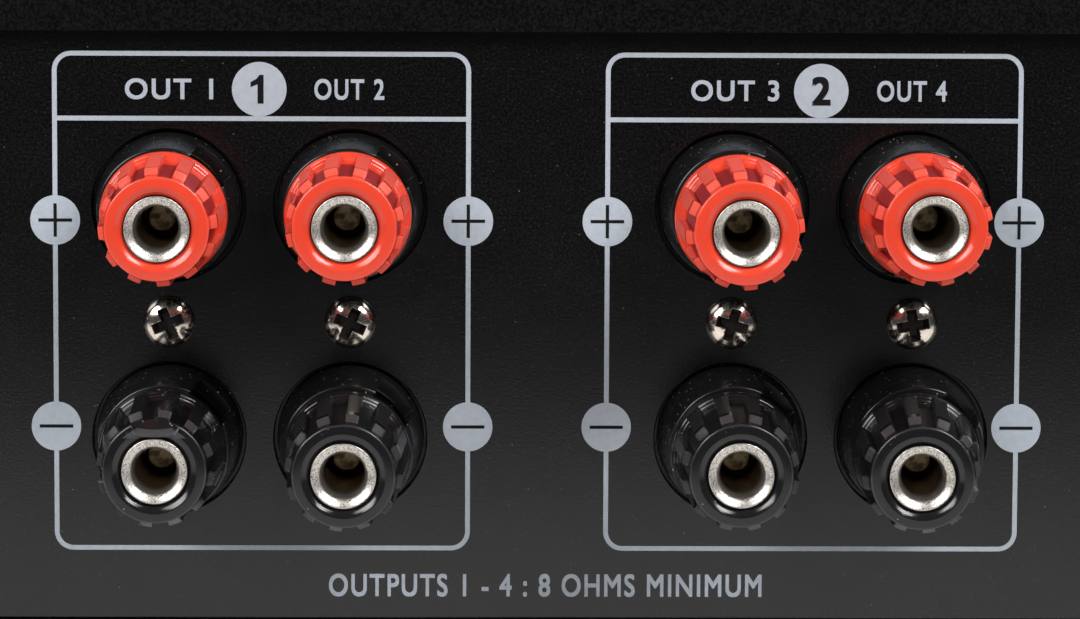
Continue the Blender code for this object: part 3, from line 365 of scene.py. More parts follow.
def cross_outline(reach, width):
    """The twelve corners of a cross, anticlockwise."""
    points = []
    for quarter in range(4):
        turn = Matrix.Rotation(quarter * math.pi / 2, 2)
        points += [turn @ Vector(p) for p in ((reach, -width), (reach, width), (width, width))]
    return points


def cross_screw(head_radius, head_height, shank_radius, length):
    """A pan-head screw with a tapered cross recess, its head seated at z = 0."""
    dome = [
        (0, head_height),
        (head_radius * 0.55, head_height * 0.95, head_radius * 0.3),
        (head_radius * 0.96, head_height * 0.55, head_radius * 0.3),
        (head_radius, 0, head_height * 0.08),
        (shank_radius, 0),
        (shank_radius, -length),
        (0, -length - shank_radius * 0.6),
    ]
    screw = turned(dome, 64, easing_steps=6)
    bm = bmesh.new()
    depth = head_height * 0.62
    rings = []
    for share, width_share, height in ((1.08, 1.15, head_height * 1.08), (0.62, 0.6, head_height - depth)):
        outline = cross_outline(head_radius * 0.66 * share, head_radius * 0.2 * width_share)
        rings.append([(p.x, p.y, height) for p in outline])
    rows = lofted(bm, rings)
    bm.faces.new(rows[0])
    bm.faces.new(rows[1])
    return carved(screw, "DIFFERENCE", finished(bm, "recess"), rounding=head_radius * 0.035)


def add_piece(name, mesh, finish, body, place, slot, *nodes):
    """Puts a mesh into the model as one piece that moves with its body and stands for its CAD nodes."""
    own_mesh = mesh.copy()
    own_mesh.materials.clear()
    own_mesh.materials.append(finish.material)
    obj = bpy.data.objects.new(name, own_mesh)
    obj.matrix_world = place
    bpy.context.scene.collection.objects.link(obj)
    shading = obj.modifiers.new("Shading", "WEIGHTED_NORMAL")
    shading.keep_sharp = True
    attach(obj, body)
    if nodes:
        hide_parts(*nodes)
    return obj


def middle_of(node):
    low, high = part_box(node)
    return (low + high) / 2


def plating(name, colour, roughness, grain, grain_depth):
    """Nickel plate over turned metal: a slightly pitted grain with stains in it."""
    nickel = Finish(name, colour, roughness, 1.0)
    stain = nickel.between(nickel.noise(1.3 * MM, 4), 0.52, 0.75)
    nickel.paint(stain, colour, [part * 0.72 for part in colour])
    nickel.polish(nickel.noise(grain, 3), 0.25, 0.75, roughness * 0.75, roughness * 1.35)
    return nickel.relief(nickel.noise(grain, 2), grain_depth)


def screw_plating(name, head_radius):
    """Bright nickel plate for a screw, painted near-black in the cross of its recess as painted shade."""
    nickel = plating(name, (0.88, 0.79, 0.69), 0.14, 0.25 * MM, 0.002 * MM)
    arms = []
    for along_axis, across_axis in (("X", "Y"), ("Y", "X")):
        across = nickel.node("Math", {0: nickel.along(across_axis)}, operation="ABSOLUTE").outputs[0]
        along = nickel.node("Math", {0: nickel.along(along_axis)}, operation="ABSOLUTE").outputs[0]
        in_width = nickel.fade(across, head_radius * 0.19, head_radius * 0.22)
        in_reach = nickel.fade(along, head_radius * 0.62, head_radius * 0.67)
        arms.append(nickel.product(in_width, in_reach))
    in_recess = nickel.largest(*arms)
    # The cross of the recess is painted near-black and less metallic: painted shade in the recess.
    nickel.paint(in_recess, nickel.painted(), (0.03, 0.025, 0.022))
    return nickel.drive("Metallic", nickel.between(in_recess, 0.0, 1.0, 1.0, 0.3))


FOOT_SCREW_HEAD = 3.6 * MM
foot_screw_plate = screw_plating("foot_screw_plate", FOOT_SCREW_HEAD)
foot_low, foot_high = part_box("foot_front_left")
foot_radius = (foot_high.x - foot_low.x) / 2
foot_height = foot_high.z - foot_low.z
foot_mesh = turned(
    [
        (0, foot_height),
        (foot_radius, foot_height, 0.6 * MM),
        (foot_radius - FOOT_TAPER, 0, 1.0 * MM),
        (FOOT_RECESS_RADIUS, 0, 0.4 * MM),
        (FOOT_RECESS_RADIUS, FOOT_RECESS_DEPTH),
        (0, FOOT_RECESS_DEPTH),
    ]
)
foot_screw = cross_screw(FOOT_SCREW_HEAD, head_height=2.2 * MM, shank_radius=1.7 * MM, length=1.5 * MM)
head_down = Matrix.Translation((0, 0, FOOT_RECESS_DEPTH)) @ Matrix.Rotation(math.pi, 4, "X")
for foot_end in ("front", "rear"):
    for foot_side in ("left", "right"):
        foot_name = f"foot_{foot_end}_{foot_side}"
        foot_middle = middle_of(foot_name)
        foot_place = Matrix.Translation((foot_middle.x, foot_middle.y, foot_low.z))
        add_piece(f"rubber_{foot_name}", foot_mesh, rubber, "case", foot_place, "rubber", foot_name)
        screw_place = foot_place @ head_down
        add_piece(f"screw_{foot_name}", foot_screw, foot_screw_plate, "case", screw_place, "nickel")


# Transformer. A stack of thin steel plates on the pan, and a winding round its centre leg that is
# wrapped in layers of amber tape.
plates = Finish("steel_plates", (0.17, 0.16, 0.155), 0.45, 0.8)
plate_lines = plates.noise(0.5 * MM, 1, (0.004, 1, 0.004))
plates.paint(plate_lines, (0.07, 0.065, 0.06), (0.26, 0.25, 0.24))
plates.polish(plates.noise(4 * MM, 3), 0.2, 0.8, 0.35, 0.6)
plates.relief(plate_lines, 0.06 * MM)
dress("transformer_core", plates, 0.2 * MM)
tape = Finish("coil_tape", (0.62, 0.42, 0.06), 0.35)
tape_laps = tape.noise(2.4 * MM, 1, (0.02, 0.02, 1))
tape.paint(tape_laps, (0.48, 0.30, 0.035), (0.70, 0.49, 0.09))
tape.polish(tape.noise(6 * MM, 3), 0.2, 0.8, 0.25, 0.45)
tape.relief(tape_laps, 0.15 * MM)
dress("transformer_coil", tape, 0.3 * MM)


# Amplifier board. A green lacquered circuit board on four standoffs, with pale tracks under the
# lacquer; the chips on it are clamped to a black anodised heatsink.
lacquer = Finish("board_lacquer", (0.02, 0.12, 0.05), 0.35)
track_sockets = {"Vector": lacquer.stretched(5 * MM), "Scale": 1.0, "Mortar Size": 0.06}
tracks = lacquer.node("TexBrick", track_sockets).outputs["Fac"]
track_tone = lacquer.blend(lacquer.noise(1.5 * MM, 4), (0.012, 0.085, 0.035), (0.02, 0.13, 0.05))
lacquer.paint(tracks, track_tone, (0.05, 0.22, 0.09))
lacquer.relief(tracks, 0.04 * MM)
dress("amplifier_board", lacquer)
fins = Finish("anodised_fins", (0.02, 0.02, 0.022), 0.4, 0.6)
die_lines = fins.noise(0.35 * MM, 2, (1, 1, 0.01))
fins.paint(die_lines, (0.014, 0.014, 0.016), (0.032, 0.032, 0.035))
fins.polish(die_lines, 0.2, 0.8, 0.32, 0.5)
fins.relief(die_lines, 0.02 * MM)
dress("heatsink", fins, 0.3 * MM)
epoxy = Finish("moulded_epoxy", (0.016, 0.016, 0.017), 0.6)
epoxy.paint(epoxy.noise(0.8 * MM, 4), (0.012, 0.012, 0.012), (0.024, 0.024, 0.025))
epoxy.relief(epoxy.noise(0.2 * MM), 0.012 * MM)
for epoxy_node in ("power_chip_1", "power_chip_2", "bridge_rectifier"):
    dress(epoxy_node, epoxy, 0.2 * MM)


# Reservoir capacitors. Aluminium cans in a shrunk dark sleeve that leaves the end of the can bare,
# with a pale stripe down the side of the negative lead.
SLEEVE_LAP = 0.9 * MM
STRIPE_WIDTH = 1.6 * MM
SLEEVE_BLUR = 0.1 * MM
can_low, can_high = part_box("reservoir_capacitor_1")
sleeve_end = can_high.z - SLEEVE_LAP
stripe_end = can_low.x + STRIPE_WIDTH
sleeve = Finish("capacitor_sleeve", (0.02, 0.03, 0.06), 0.3)
bare_end = sleeve.between(sleeve.along("Z"), sleeve_end, sleeve_end + SLEEVE_BLUR)
stripe = sleeve.fade(sleeve.along("X"), stripe_end, stripe_end + SLEEVE_BLUR)
wrinkles = sleeve.noise(2.5 * MM, 4)
sleeve_blue = sleeve.blend(wrinkles, (0.014, 0.02, 0.045), (0.026, 0.036, 0.07))
sleeve_tone = sleeve.blend(stripe, sleeve_blue, (0.5, 0.5, 0.48))
sleeve.paint(bare_end, sleeve_tone, (0.62, 0.62, 0.62))
sleeve.drive("Metallic", bare_end)
sleeve.relief(wrinkles, 0.03 * MM)
for can in ("reservoir_capacitor_1", "reservoir_capacitor_2"):
    dress(can, sleeve)


# Mains inlet. A moulded black three-pin socket that snaps into the rear panel, with three flat
# plated pins standing in its well and a drawer below them that holds the fuse.
def moulded_black(name, roughness, dust):
    """Glossy black moulding with a faint flow pattern, and a share of its dust specks."""
    moulding = Finish(name, (0.008, 0.008, 0.009), roughness)
    flow = moulding.blend(moulding.noise(2.2 * MM, 4), (0.006, 0.006, 0.007), (0.010, 0.010, 0.0105))
    fluff = moulding.blend(moulding.noise(2.6 * MM, 1), (0.22, 0.15, 0.10), (0.42, 0.38, 0.34))
    moulding.paint(moulding.specks(0.8 * MM, 0.10 * MM, dust), flow, fluff)
    moulding.polish(moulding.noise(1.1 * MM, 4), 0.25, 0.75, roughness * 0.8, roughness * 1.25)
    return moulding.relief(moulding.noise(0.8 * MM, 2), 0.003 * MM)


case_plastic = moulded_black("case_plastic", 0.34, 0.05)
dress("mains_inlet", case_plastic, 0.35 * MM)
dress("fuse_drawer", case_plastic, 0.3 * MM)
pin_plate = plating("pin_plate", (0.60, 0.57, 0.52), 0.2, 0.25 * MM, 0.002 * MM)
PIN_WIDTH = 4.0 * MM
PIN_THICKNESS = 2.0 * MM
PIN_LENGTH = 12.5 * MM
PIN_RECESS = 4.2 * MM
PIN_SPREAD = 7.0 * MM
PIN_RISE = 5.34 * MM
EARTH_RISE = 8.94 * MM
PINS = {"live": (PIN_SPREAD, PIN_RISE), "neutral": (-PIN_SPREAD, PIN_RISE), "earth": (0, EARTH_RISE)}
PIN_CORNER = 0.5 * MM
PIN_EASING = 0.4 * MM
FINE_WELD = 0.00001 * MM


def circle(radius, middle=(0, 0), is_hole=False, steps=96):
    """A round edge that draws back by the easing it is given: inwards, or outwards round a hole."""

    def edge(easing):
        reach = radius + easing if is_hole else radius - easing
        turns = [math.tau * i / steps for i in range(steps)]
        return [(middle[0] + reach * math.cos(turn), middle[1] + reach * math.sin(turn)) for turn in turns]

    return edge


def rectangle(width, height, top_corner, bottom_corner, middle=(0, 0), is_hole=False, steps=8):
    """A rectangular edge with rounded corners, which draws back as a circle's does."""

    def edge(easing):
        growth = easing if is_hole else -easing
        half = Vector((width / 2 + growth, height / 2 + growth))
        points = []
        for quarter, (side, rise) in enumerate(((1, 1), (-1, 1), (-1, -1), (1, -1))):
            radius = max((top_corner if rise > 0 else bottom_corner) + growth, 0)
            centre = Vector(middle) + Vector((side * (half.x - radius), rise * (half.y - radius)))
            for k in range(steps + 1):
                turn = (quarter + k / steps) * math.pi / 2
                points.append(tuple(centre + Vector((math.cos(turn), math.sin(turn))) * radius))
        return points

    return edge


def cut_sheet(edges, depth, easing=0.0, easing_steps=3):
    """A flat sheet with its face at z = 0, cut along the edges, which are rounded on both faces."""
    bm = bmesh.new()
    stations = [(0.0, 0.0), (0.0, -depth)]
    if easing:
        arc = [math.pi / 2 * k / easing_steps for k in range(easing_steps + 1)]
        front = [(easing * (1 - math.sin(a)), easing * (math.cos(a) - 1)) for a in arc]
        stations = front + [(draw, -depth - z) for draw, z in reversed(front)]
    faces = ([], [])
    for edge in edges:
        rings = []
        for draw, z in stations:
            rings.append([(x, y, z) for x, y in edge(draw)])
        rows = lofted(bm, rings)
        for face, row in zip(faces, (rows[0], rows[-1])):
            face += [bm.edges.get((a, b)) for a, b in zip(row, row[1:] + row[:1])]
    for face, normal in zip(faces, ((0, 0, 1), (0, 0, -1))):
        bmesh.ops.triangle_fill(bm, use_beauty=True, edges=face, normal=normal)
    sheet = finished(bm, "sheet", FINE_WELD)
    bm = bmesh.new()
    bm.from_mesh(sheet)
    for edge in bm.edges:
        if len({abs(face.normal.z) > 0.9999 for face in edge.link_faces}) == 2:
            edge.smooth = False
    bm.to_mesh(sheet)
    bm.free()
    return sheet


panel_low, panel_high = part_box("rear_panel")
PANEL_FACE = panel_high.y
ROW_HEIGHT = middle_of("terminal_block_a").z
# The rear frame: x to the right and y up as seen from behind, z out of the panel
REAR = Matrix(((-1, 0, 0, 0), (0, 0, 1, PANEL_FACE), (0, 1, 0, ROW_HEIGHT), (0, 0, 0, 1)))


def on_rear(point):
    """A point of the model as x and y in the rear frame."""
    return -point[0], point[2] - ROW_HEIGHT


pin_mesh = cut_sheet([rectangle(PIN_THICKNESS, PIN_WIDTH, PIN_CORNER, PIN_CORNER)], PIN_LENGTH, PIN_EASING)
inlet_x = -middle_of("mains_inlet").x
inlet_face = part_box("mains_inlet")[1].y - PANEL_FACE
for pin_name, (pin_x, pin_y) in PINS.items():
    pin_place = REAR @ Matrix.Translation((inlet_x + pin_x, pin_y, inlet_face - PIN_RECESS))
    add_piece(f"inlet_pin_{pin_name}", pin_mesh, pin_plate, "case", pin_place, "nickel")


# Input sockets. Turned and plated phono sockets, each with a coloured insulating ring pressed into
# its mouth round a plated contact, white for one channel and red for the other.
BARREL_RADIUS = 4.15 * MM
BARREL_BORE = 3.3 * MM
BARREL_DEPTH = 7.0 * MM
FLANGE_SEAT = 0.3 * MM
FLANGE_TOP = 1.7 * MM
RING_DEPTH = 1.0 * MM
RING_BORE = 2.0 * MM
RING_RADIUS = 3.25 * MM
RING_REAR_GAP = 0.1 * MM
CONTACT_BORE = 1.65 * MM
CONTACT_RADIUS = 1.95 * MM
CONTACT_DEPTH = 1.5 * MM
CONTACT_REAR_GAP = 0.2 * MM
barrel_low, barrel_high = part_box("input_socket_left")
barrel_end = barrel_high.y - PANEL_FACE
barrel_tail = barrel_low.y - PANEL_FACE
barrel_floor = barrel_end - BARREL_DEPTH
flange_radius = (barrel_high.x - barrel_low.x) / 2
socket_plate = plating("socket_plate", (0.66, 0.62, 0.55), 0.18, 0.3 * MM, 0.002 * MM)
barrel_mesh = turned(
    [
        (BARREL_BORE, barrel_floor),
        (BARREL_BORE, barrel_end, 0.2 * MM),
        (BARREL_RADIUS, barrel_end, 0.35 * MM),
        (BARREL_RADIUS, FLANGE_TOP, 0.15 * MM),
        (flange_radius, FLANGE_TOP, 0.25 * MM),
        (flange_radius, FLANGE_SEAT, 0.1 * MM),
        (BARREL_RADIUS, FLANGE_SEAT),
        (BARREL_RADIUS, barrel_tail, 0.2 * MM),
        (0, barrel_tail),
        (0, barrel_floor),
    ]
)
ring_mesh = turned(
    [
        (RING_BORE, barrel_floor + RING_REAR_GAP),
        (RING_RADIUS, barrel_floor + RING_REAR_GAP),
        (RING_RADIUS, barrel_end - RING_DEPTH, 0.15 * MM),
        (RING_BORE, barrel_end - RING_DEPTH, 0.25 * MM),
    ],
    is_ring=True,
)
contact_mesh = turned(
    [
        (CONTACT_BORE, barrel_floor + CONTACT_REAR_GAP),
        (CONTACT_RADIUS, barrel_floor + CONTACT_REAR_GAP),
        (CONTACT_RADIUS, barrel_end - CONTACT_DEPTH, 0.1 * MM),
        (CONTACT_BORE, barrel_end - CONTACT_DEPTH, 0.1 * MM),
    ],
    is_ring=True,
)
RING_COLOURS = {"left": (0.75, 0.74, 0.70), "right": (0.55, 0.03, 0.02)}
RING_SLOTS = {"left": "white_plastic", "right": "red_plastic"}
socket_points = []
for channel, ring_colour in RING_COLOURS.items():
    socket_node = f"input_socket_{channel}"
    socket_points.append(on_rear(middle_of(socket_node)))
    socket_place = REAR @ Matrix.Translation((*socket_points[-1], 0))
    ring_finish = Finish(f"socket_ring_{channel}", ring_colour, 0.35)
    ring_finish.paint(ring_finish.noise(0.8 * MM, 3), [part * 0.85 for part in ring_colour], ring_colour)
    add_piece(f"barrel_{socket_node}", barrel_mesh, socket_plate, "case", socket_place, "nickel", socket_node)
    add_piece(f"ring_{socket_node}", ring_mesh, ring_finish, "case", socket_place, RING_SLOTS[channel])
    add_piece(f"contact_{socket_node}", contact_mesh, socket_plate, "case", socket_place, "nickel")


# Terminal blocks. Two black mouldings screwed behind the panel, each a plate with four tapered
# collars that stand out through it; a slot right across each collar lets a bare wire in.
COLLAR_BASE = 7.6 * MM
COLLAR_RIM = 6.8 * MM
COLLAR_BORE = 6.2 * MM
COLLAR_HEIGHT = 9.8 * MM
COLLAR_FLOOR = 2.0 * MM
COLLAR_ROOT = -3.5 * MM
COLLAR_LAP = 0.4 * MM
WIRE_SLOT = 4.6 * MM
WIRE_SLOT_FLOOR = 2.5 * MM
STUD_HOLE = 2.35 * MM
SCREW_HOLE = 1.75 * MM
PLATE_FRONT = -1.5 * MM
collar_slope = (COLLAR_RIM - COLLAR_BASE) / COLLAR_HEIGHT
collar_mesh = turned(
    [
        (STUD_HOLE, COLLAR_ROOT),
        (COLLAR_BASE + collar_slope * COLLAR_ROOT, COLLAR_ROOT),
        (COLLAR_RIM, COLLAR_HEIGHT, 0.22 * MM),
        (COLLAR_BORE, COLLAR_HEIGHT, 0.12 * MM),
        (COLLAR_BORE, COLLAR_FLOOR, 0.3 * MM),
        (STUD_HOLE, COLLAR_FLOOR),
    ],
    128,
    is_ring=True,
)
slot_tool = cut_sheet([rectangle(4 * COLLAR_BASE, WIRE_SLOT, 0.01 * MM, 0.01 * MM)], COLLAR_HEIGHT)
slot_rise = Matrix.Translation((0, 0, WIRE_SLOT_FLOOR + COLLAR_HEIGHT))
slot_tool.transform(Matrix.Rotation(math.pi / 4, 4, "Z") @ slot_rise)
slotted_collar = carved(collar_mesh, "DIFFERENCE", slot_tool, rounding=0.2 * MM)
post_joints = {}
for joint in frame["joints"]:
    if joint["name"].startswith("cap_"):
        post_joints[joint["child"].removeprefix("cap_")] = joint
collar_plastic = moulded_black("collar_plastic", 0.22, 0.45)
for block in ("a", "b"):
    block_node = f"terminal_block_{block}"
    block_low, block_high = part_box(block_node)
    block_middle = (block_low + block_high) / 2
    collars = []
    for post, joint in post_joints.items():
        if post.startswith(block):
            post_x, post_y = on_rear(joint["pos_m"])
            collars.append((post_x + block_middle.x, post_y))
    edges = [rectangle(block_high.x - block_low.x, block_high.z - block_low.z, 1.5 * MM, 1.5 * MM)]
    edges += [circle(COLLAR_BASE - COLLAR_LAP, place, True) for place in collars]
    edges += [circle(SCREW_HOLE, (x, 0), True) for x in sorted({round(x, 6) for x, y in collars})]
    plate_back = block_low.y - PANEL_FACE
    plate_mesh = cut_sheet(edges, PLATE_FRONT - plate_back, 0.5 * MM)
    plate_mesh.transform(Matrix.Translation((0, 0, PLATE_FRONT)))
    bm = bmesh.new()
    bm.from_mesh(plate_mesh)
    for x, y in collars:
        collar = slotted_collar.copy()
        collar.transform(Matrix.Translation((x, y, 0)))
        bm.from_mesh(collar)
    block_mesh = finished(bm, "block", FINE_WELD)
    block_place = REAR @ Matrix.Translation((-block_middle.x, 0, 0))
    block_name = f"moulded_block_{block}"
    add_piece(block_name, block_mesh, collar_plastic, "case", block_place, "black_plastic", block_node)


# Rear panel. One flat sheet of coated steel, punched for the posts, their screws and the sockets.
# It is screwed to the pan's upstand and lapped by the cover's lip.
POST_HOLE = 8.0 * MM
SOCKET_GAP = 0.3 * MM
INLET_RIM = 1.7 * MM
PANEL_OVERHANG = 1.0 * MM
panel_size = panel_high - panel_low
panel_mid_y = (panel_high.z + panel_low.z - PANEL_OVERHANG) / 2 - ROW_HEIGHT
panel_edges = [rectangle(panel_size.x, panel_size.z + PANEL_OVERHANG, 0.6 * MM, 0.6 * MM, (0, panel_mid_y))]
for joint in post_joints.values():
    panel_edges.append(circle(POST_HOLE, on_rear(joint["pos_m"]), True, 128))
for screw_side in ("a_right", "a_left", "b_right", "b_left"):
    screw_x = -middle_of(f"terminal_screw_{screw_side}").x
    panel_edges.append(circle(SCREW_HOLE, (screw_x, 0), True, 48))
for socket_point in socket_points:
    panel_edges.append(circle(BARREL_RADIUS + SOCKET_GAP, socket_point, True, 64))
inlet_low, inlet_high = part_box("mains_inlet")
inlet_hole = inlet_high - inlet_low - Vector((2, 0, 2)) * INLET_RIM
panel_edges.append(rectangle(inlet_hole.x, inlet_hole.z, 0.5 * MM, 0.5 * MM, (inlet_x, 0), True))
panel_mesh = cut_sheet(panel_edges, panel_size.y, 0.12 * MM)
panel_coat = powder_coat("panel_coat", 0.13, 0.18, 0.6)
add_piece("panel_sheet", panel_mesh, panel_coat, "case", REAR, "black_coat", "rear_panel")


# Rear print. Pale grey ink, screen printed on the coat: a rounded frame with a header round each
# block, discs with plus and minus signs on its sides, and plain numbers for the outputs.
INK_DEPTH = 0.02 * MM
LINE = 0.5 * MM
FRAME_WIDTH = 43.2 * MM
FRAME_TOP = 28.16 * MM
FRAME_BOTTOM = -23.95 * MM
DIVIDER = 21.38 * MM
FRAME_CORNER = 1.75 * MM
DISC_RADIUS = 2.6 * MM
NUMBER_DISC_RADIUS = 2.85 * MM
PLUS_RISE = 10.69 * MM
MINUS_DROP = -11.05 * MM
SIGN_REACH = 1.75 * MM
SIGN_HALF_WIDTH = 0.17 * MM
HEADER_RISE = 24.46 * MM
HEADER_LETTERS = 2.2 * MM
NUMBER_LETTERS = 3.0 * MM
FOOTER = "OUTPUTS 1 - 4 : 8 OHMS MINIMUM"
FOOTER_PLACE = (0.6 * MM, -27.92 * MM)
FOOTER_LETTERS = 2.45 * MM
FOOTER_WIDTH = 45.7 * MM
WORD_WIDTHS = (9.2 * MM, 7.3 * MM)
LETTER_SPACING = 1.15
# The figure 1 for a header disc, an outline in millimetres; the typeface has only a bare bar for it
ONE_STEM = [(-0.17, -1.5), (0.45, -1.5), (0.45, 1.5), (0.02, 1.5)]
ONE_FLAG = [(-0.3, 1.08), (-0.9, 0.75), (-0.9, 0.22), (-0.17, 0.52)]
# Each frame's middle, the number in its disc and that disc's x, and its two words and their x places
FRAMES = {
    "a": (-29.25 * MM, "1", -29.5 * MM, (("OUT 1", -38.9 * MM), ("OUT 2", -20.1 * MM))),
    "b": (28.52 * MM, "2", 29.2 * MM, (("OUT 3", 20.2 * MM), ("OUT 4", 38.7 * MM))),
}
ink = Finish("pale_ink", (0.44, 0.49, 0.555), 0.5)
ink_cover = ink.noise(0.8 * MM, 3)
ink.paint(ink.between(ink_cover, 0.3, 0.7), (0.425, 0.47, 0.535), (0.46, 0.51, 0.575))
ink.relief(ink_cover, 0.006 * MM)
dark_ink = Finish("dark_ink", (0.005, 0.005, 0.006), 0.6)
dark_ink.shader.inputs["Specular IOR Level"].default_value = 0.15
dark_ink.paint(dark_ink.noise(0.4 * MM, 3), (0.004, 0.004, 0.005), (0.008, 0.008, 0.009))


def lettering(text, height, middle, lift, width=None, weight=0.02):
    """Text as thin raised ink, set to its height, and to a width if one is given, about its middle."""
    words = bpy.data.curves.new("words", "FONT")
    words.body = text
    words.space_character = LETTER_SPACING
    words.resolution_u = 6
    obj = bpy.data.objects.new("words", words)
    bpy.context.scene.collection.objects.link(obj)
    strokes = evaluated(obj)
    bm = bmesh.new()
    for step, (side, rise) in enumerate(((1, 1), (-1, 1), (-1, -1), (1, -1))):
        doubled = strokes.copy()
        doubled.transform(Matrix.Translation((side * weight, rise * weight, step * INK_DEPTH / 4)))
        bm.from_mesh(doubled)
    xs = [v.co.x for v in bm.verts]
    ys = [v.co.y for v in bm.verts]
    rise = height / (max(ys) - min(ys))
    spread = width / (max(xs) - min(xs)) if width else rise
    centre = Vector(((max(xs) + min(xs)) / 2, (max(ys) + min(ys)) / 2, 0))
    bmesh.ops.translate(bm, verts=bm.verts, vec=-centre)
    bmesh.ops.scale(bm, verts=bm.verts, vec=(spread, rise, 1))
    walls = bmesh.ops.extrude_face_region(bm, geom=bm.faces[:])["geom"]
    raised = [item for item in walls if isinstance(item, bmesh.types.BMVert)]
    bmesh.ops.translate(bm, verts=raised, vec=(0, 0, INK_DEPTH))
    bmesh.ops.translate(bm, verts=bm.verts, vec=(*middle, lift))
    return finished(bm, "words", FINE_WELD)


def inked(edges, middle, lift):
    """A flat patch of ink inside the edges."""
    patch = cut_sheet(edges, INK_DEPTH)
    patch.transform(Matrix.Translation((*middle, lift + INK_DEPTH)))
    return patch


def polygon(points):
    """An edge through the points, which does not draw back."""
    return lambda easing: [tuple(point) for point in points]


def together(meshes):
    """Several meshes as one."""
    bm = bmesh.new()
    for mesh in meshes:
        bm.from_mesh(mesh)
    return finished(bm, "together", FINE_WELD)


ON_COAT = 0.012 * MM
ON_INK = ON_COAT + INK_DEPTH * 1.2
SQUARE = 0.02 * MM
outer_corner = FRAME_CORNER + LINE / 2
inner_corner = FRAME_CORNER - LINE / 2
inner_width = FRAME_WIDTH - LINE
frame_middle = (0, (FRAME_TOP + FRAME_BOTTOM) / 2)
header_middle = (0, (FRAME_TOP + DIVIDER) / 2)
field_middle = (0, (DIVIDER + FRAME_BOTTOM) / 2)
frame_edges = [
    rectangle(FRAME_WIDTH + LINE, FRAME_TOP - FRAME_BOTTOM + LINE, outer_corner, outer_corner, frame_middle),
    rectangle(inner_width, FRAME_TOP - DIVIDER - LINE, inner_corner, SQUARE, header_middle, True),
    rectangle(inner_width, DIVIDER - FRAME_BOTTOM - LINE, SQUARE, inner_corner, field_middle, True),
]
plus = polygon(cross_outline(SIGN_REACH, SIGN_HALF_WIDTH))
minus = rectangle(2 * SIGN_REACH, 2 * SIGN_HALF_WIDTH, SQUARE, SQUARE)
pale_print = [lettering(FOOTER, FOOTER_LETTERS, FOOTER_PLACE, ON_COAT, FOOTER_WIDTH)]
dark_print = []
for frame_x, number, number_x, words in FRAMES.values():
    pale_print.append(inked(frame_edges, (frame_x, 0), ON_COAT))
    for side in (-1, 1):
        for sign, sign_rise in ((plus, PLUS_RISE), (minus, MINUS_DROP)):
            disc_place = (frame_x + side * FRAME_WIDTH / 2, sign_rise)
            pale_print.append(inked([circle(DISC_RADIUS)], disc_place, ON_INK))
            dark_print.append(inked([sign], disc_place, ON_INK + INK_DEPTH))
    number_place = (number_x, HEADER_RISE)
    pale_print.append(inked([circle(NUMBER_DISC_RADIUS)], number_place, ON_COAT))
    if number == "1":
        figure = polygon([(x * MM, y * MM) for x, y in ONE_STEM + ONE_FLAG])
        dark_print.append(inked([figure], number_place, ON_COAT + INK_DEPTH))
    else:
        dark_print.append(lettering(number, NUMBER_LETTERS, number_place, ON_COAT + INK_DEPTH, weight=0.03))
    for (word, word_x), word_width in zip(words, WORD_WIDTHS):
        pale_print.append(lettering(word, HEADER_LETTERS, (word_x, HEADER_RISE), ON_COAT, word_width))
add_piece("rear_print_pale", together(pale_print), ink, "case", REAR, "white_plastic")
add_piece("rear_print_dark", together(dark_print), dark_ink, "case", REAR, "black_coat")


# Terminal screws. Four bright nickel-plated pan-head screws that hold the blocks to the panel, each
# left at the turn where it came tight.
SCREW_SEAT = 0.3 * MM
SCREW_SHANK = 1.4 * MM
SCREW_POINT = 0.6 * MM
SCREW_TURNS = {"a_right": 22, "a_left": -24, "b_right": -16, "b_left": 9}
screw_low, screw_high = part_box("terminal_screw_a_right")
screw_head = (screw_high.x - screw_low.x) / 2
screw_top = screw_high.y - PANEL_FACE - SCREW_SEAT
screw_plate = screw_plating("terminal_screw_plate", screw_head)
screw_mesh = cross_screw(screw_head, screw_top, SCREW_SHANK, PANEL_FACE - screw_low.y - SCREW_POINT)
for screw_side, screw_turn in SCREW_TURNS.items():
    screw_node = f"terminal_screw_{screw_side}"
    screw_place = Matrix.Translation((-middle_of(screw_node).x, 0, SCREW_SEAT))
    screw_place = REAR @ screw_place @ Matrix.Rotation(math.radians(screw_turn), 4, "Z")
    add_piece(f"plated_{screw_node}", screw_mesh, screw_plate, "case", screw_place, "nickel", screw_node)


# Studs. Turned brass rods, plated and threaded, pressed through the blocks; the cores screw on them,
# and a hole across each takes a bare wire above its shoulder.
def post_place(joint):
    """The frame of a post: z along its axis, y up, from the panel's face."""
    out = Vector(joint["axis"])
    side = Vector((0, 0, 1)).cross(out).normalized()
    up = out.cross(side)
    turn = Matrix((side, up, out)).transposed().to_4x4()
    return Matrix.Translation(joint["pos_m"]) @ turn


STUD_RADIUS = 1.95 * MM
STUD_TOP = 13.0 * MM
STUD_TIP = 1.35 * MM
STUD_TAIL = -12.5 * MM
SHOULDER_RADIUS = 3.45 * MM
SHOULDER_LOW = 2.3 * MM
SHOULDER_TOP = 3.8 * MM
THREAD_PITCH = 0.8 * MM
THREAD_DEPTH = 0.22 * MM
WIRE_HOLE = 1.2 * MM
WIRE_HOLE_RISE = 5.4 * MM
brass_plate = plating("stud_plate", (0.80, 0.62, 0.38), 0.4, 0.2 * MM, 0.004 * MM)
# Mottled between bright and dark brass: partly tarnish, partly painted glints.
tarnish_and_glints = brass_plate.between(brass_plate.noise(0.9 * MM, 3), 0.38, 0.62)
brass_plate.paint(tarnish_and_glints, (0.95, 0.76, 0.48), (0.26, 0.19, 0.11))
stud_corners = [(0, STUD_TOP - 0.15 * MM), (STUD_TIP, STUD_TOP, 0.1 * MM)]
ridge = STUD_TOP - 0.8 * MM
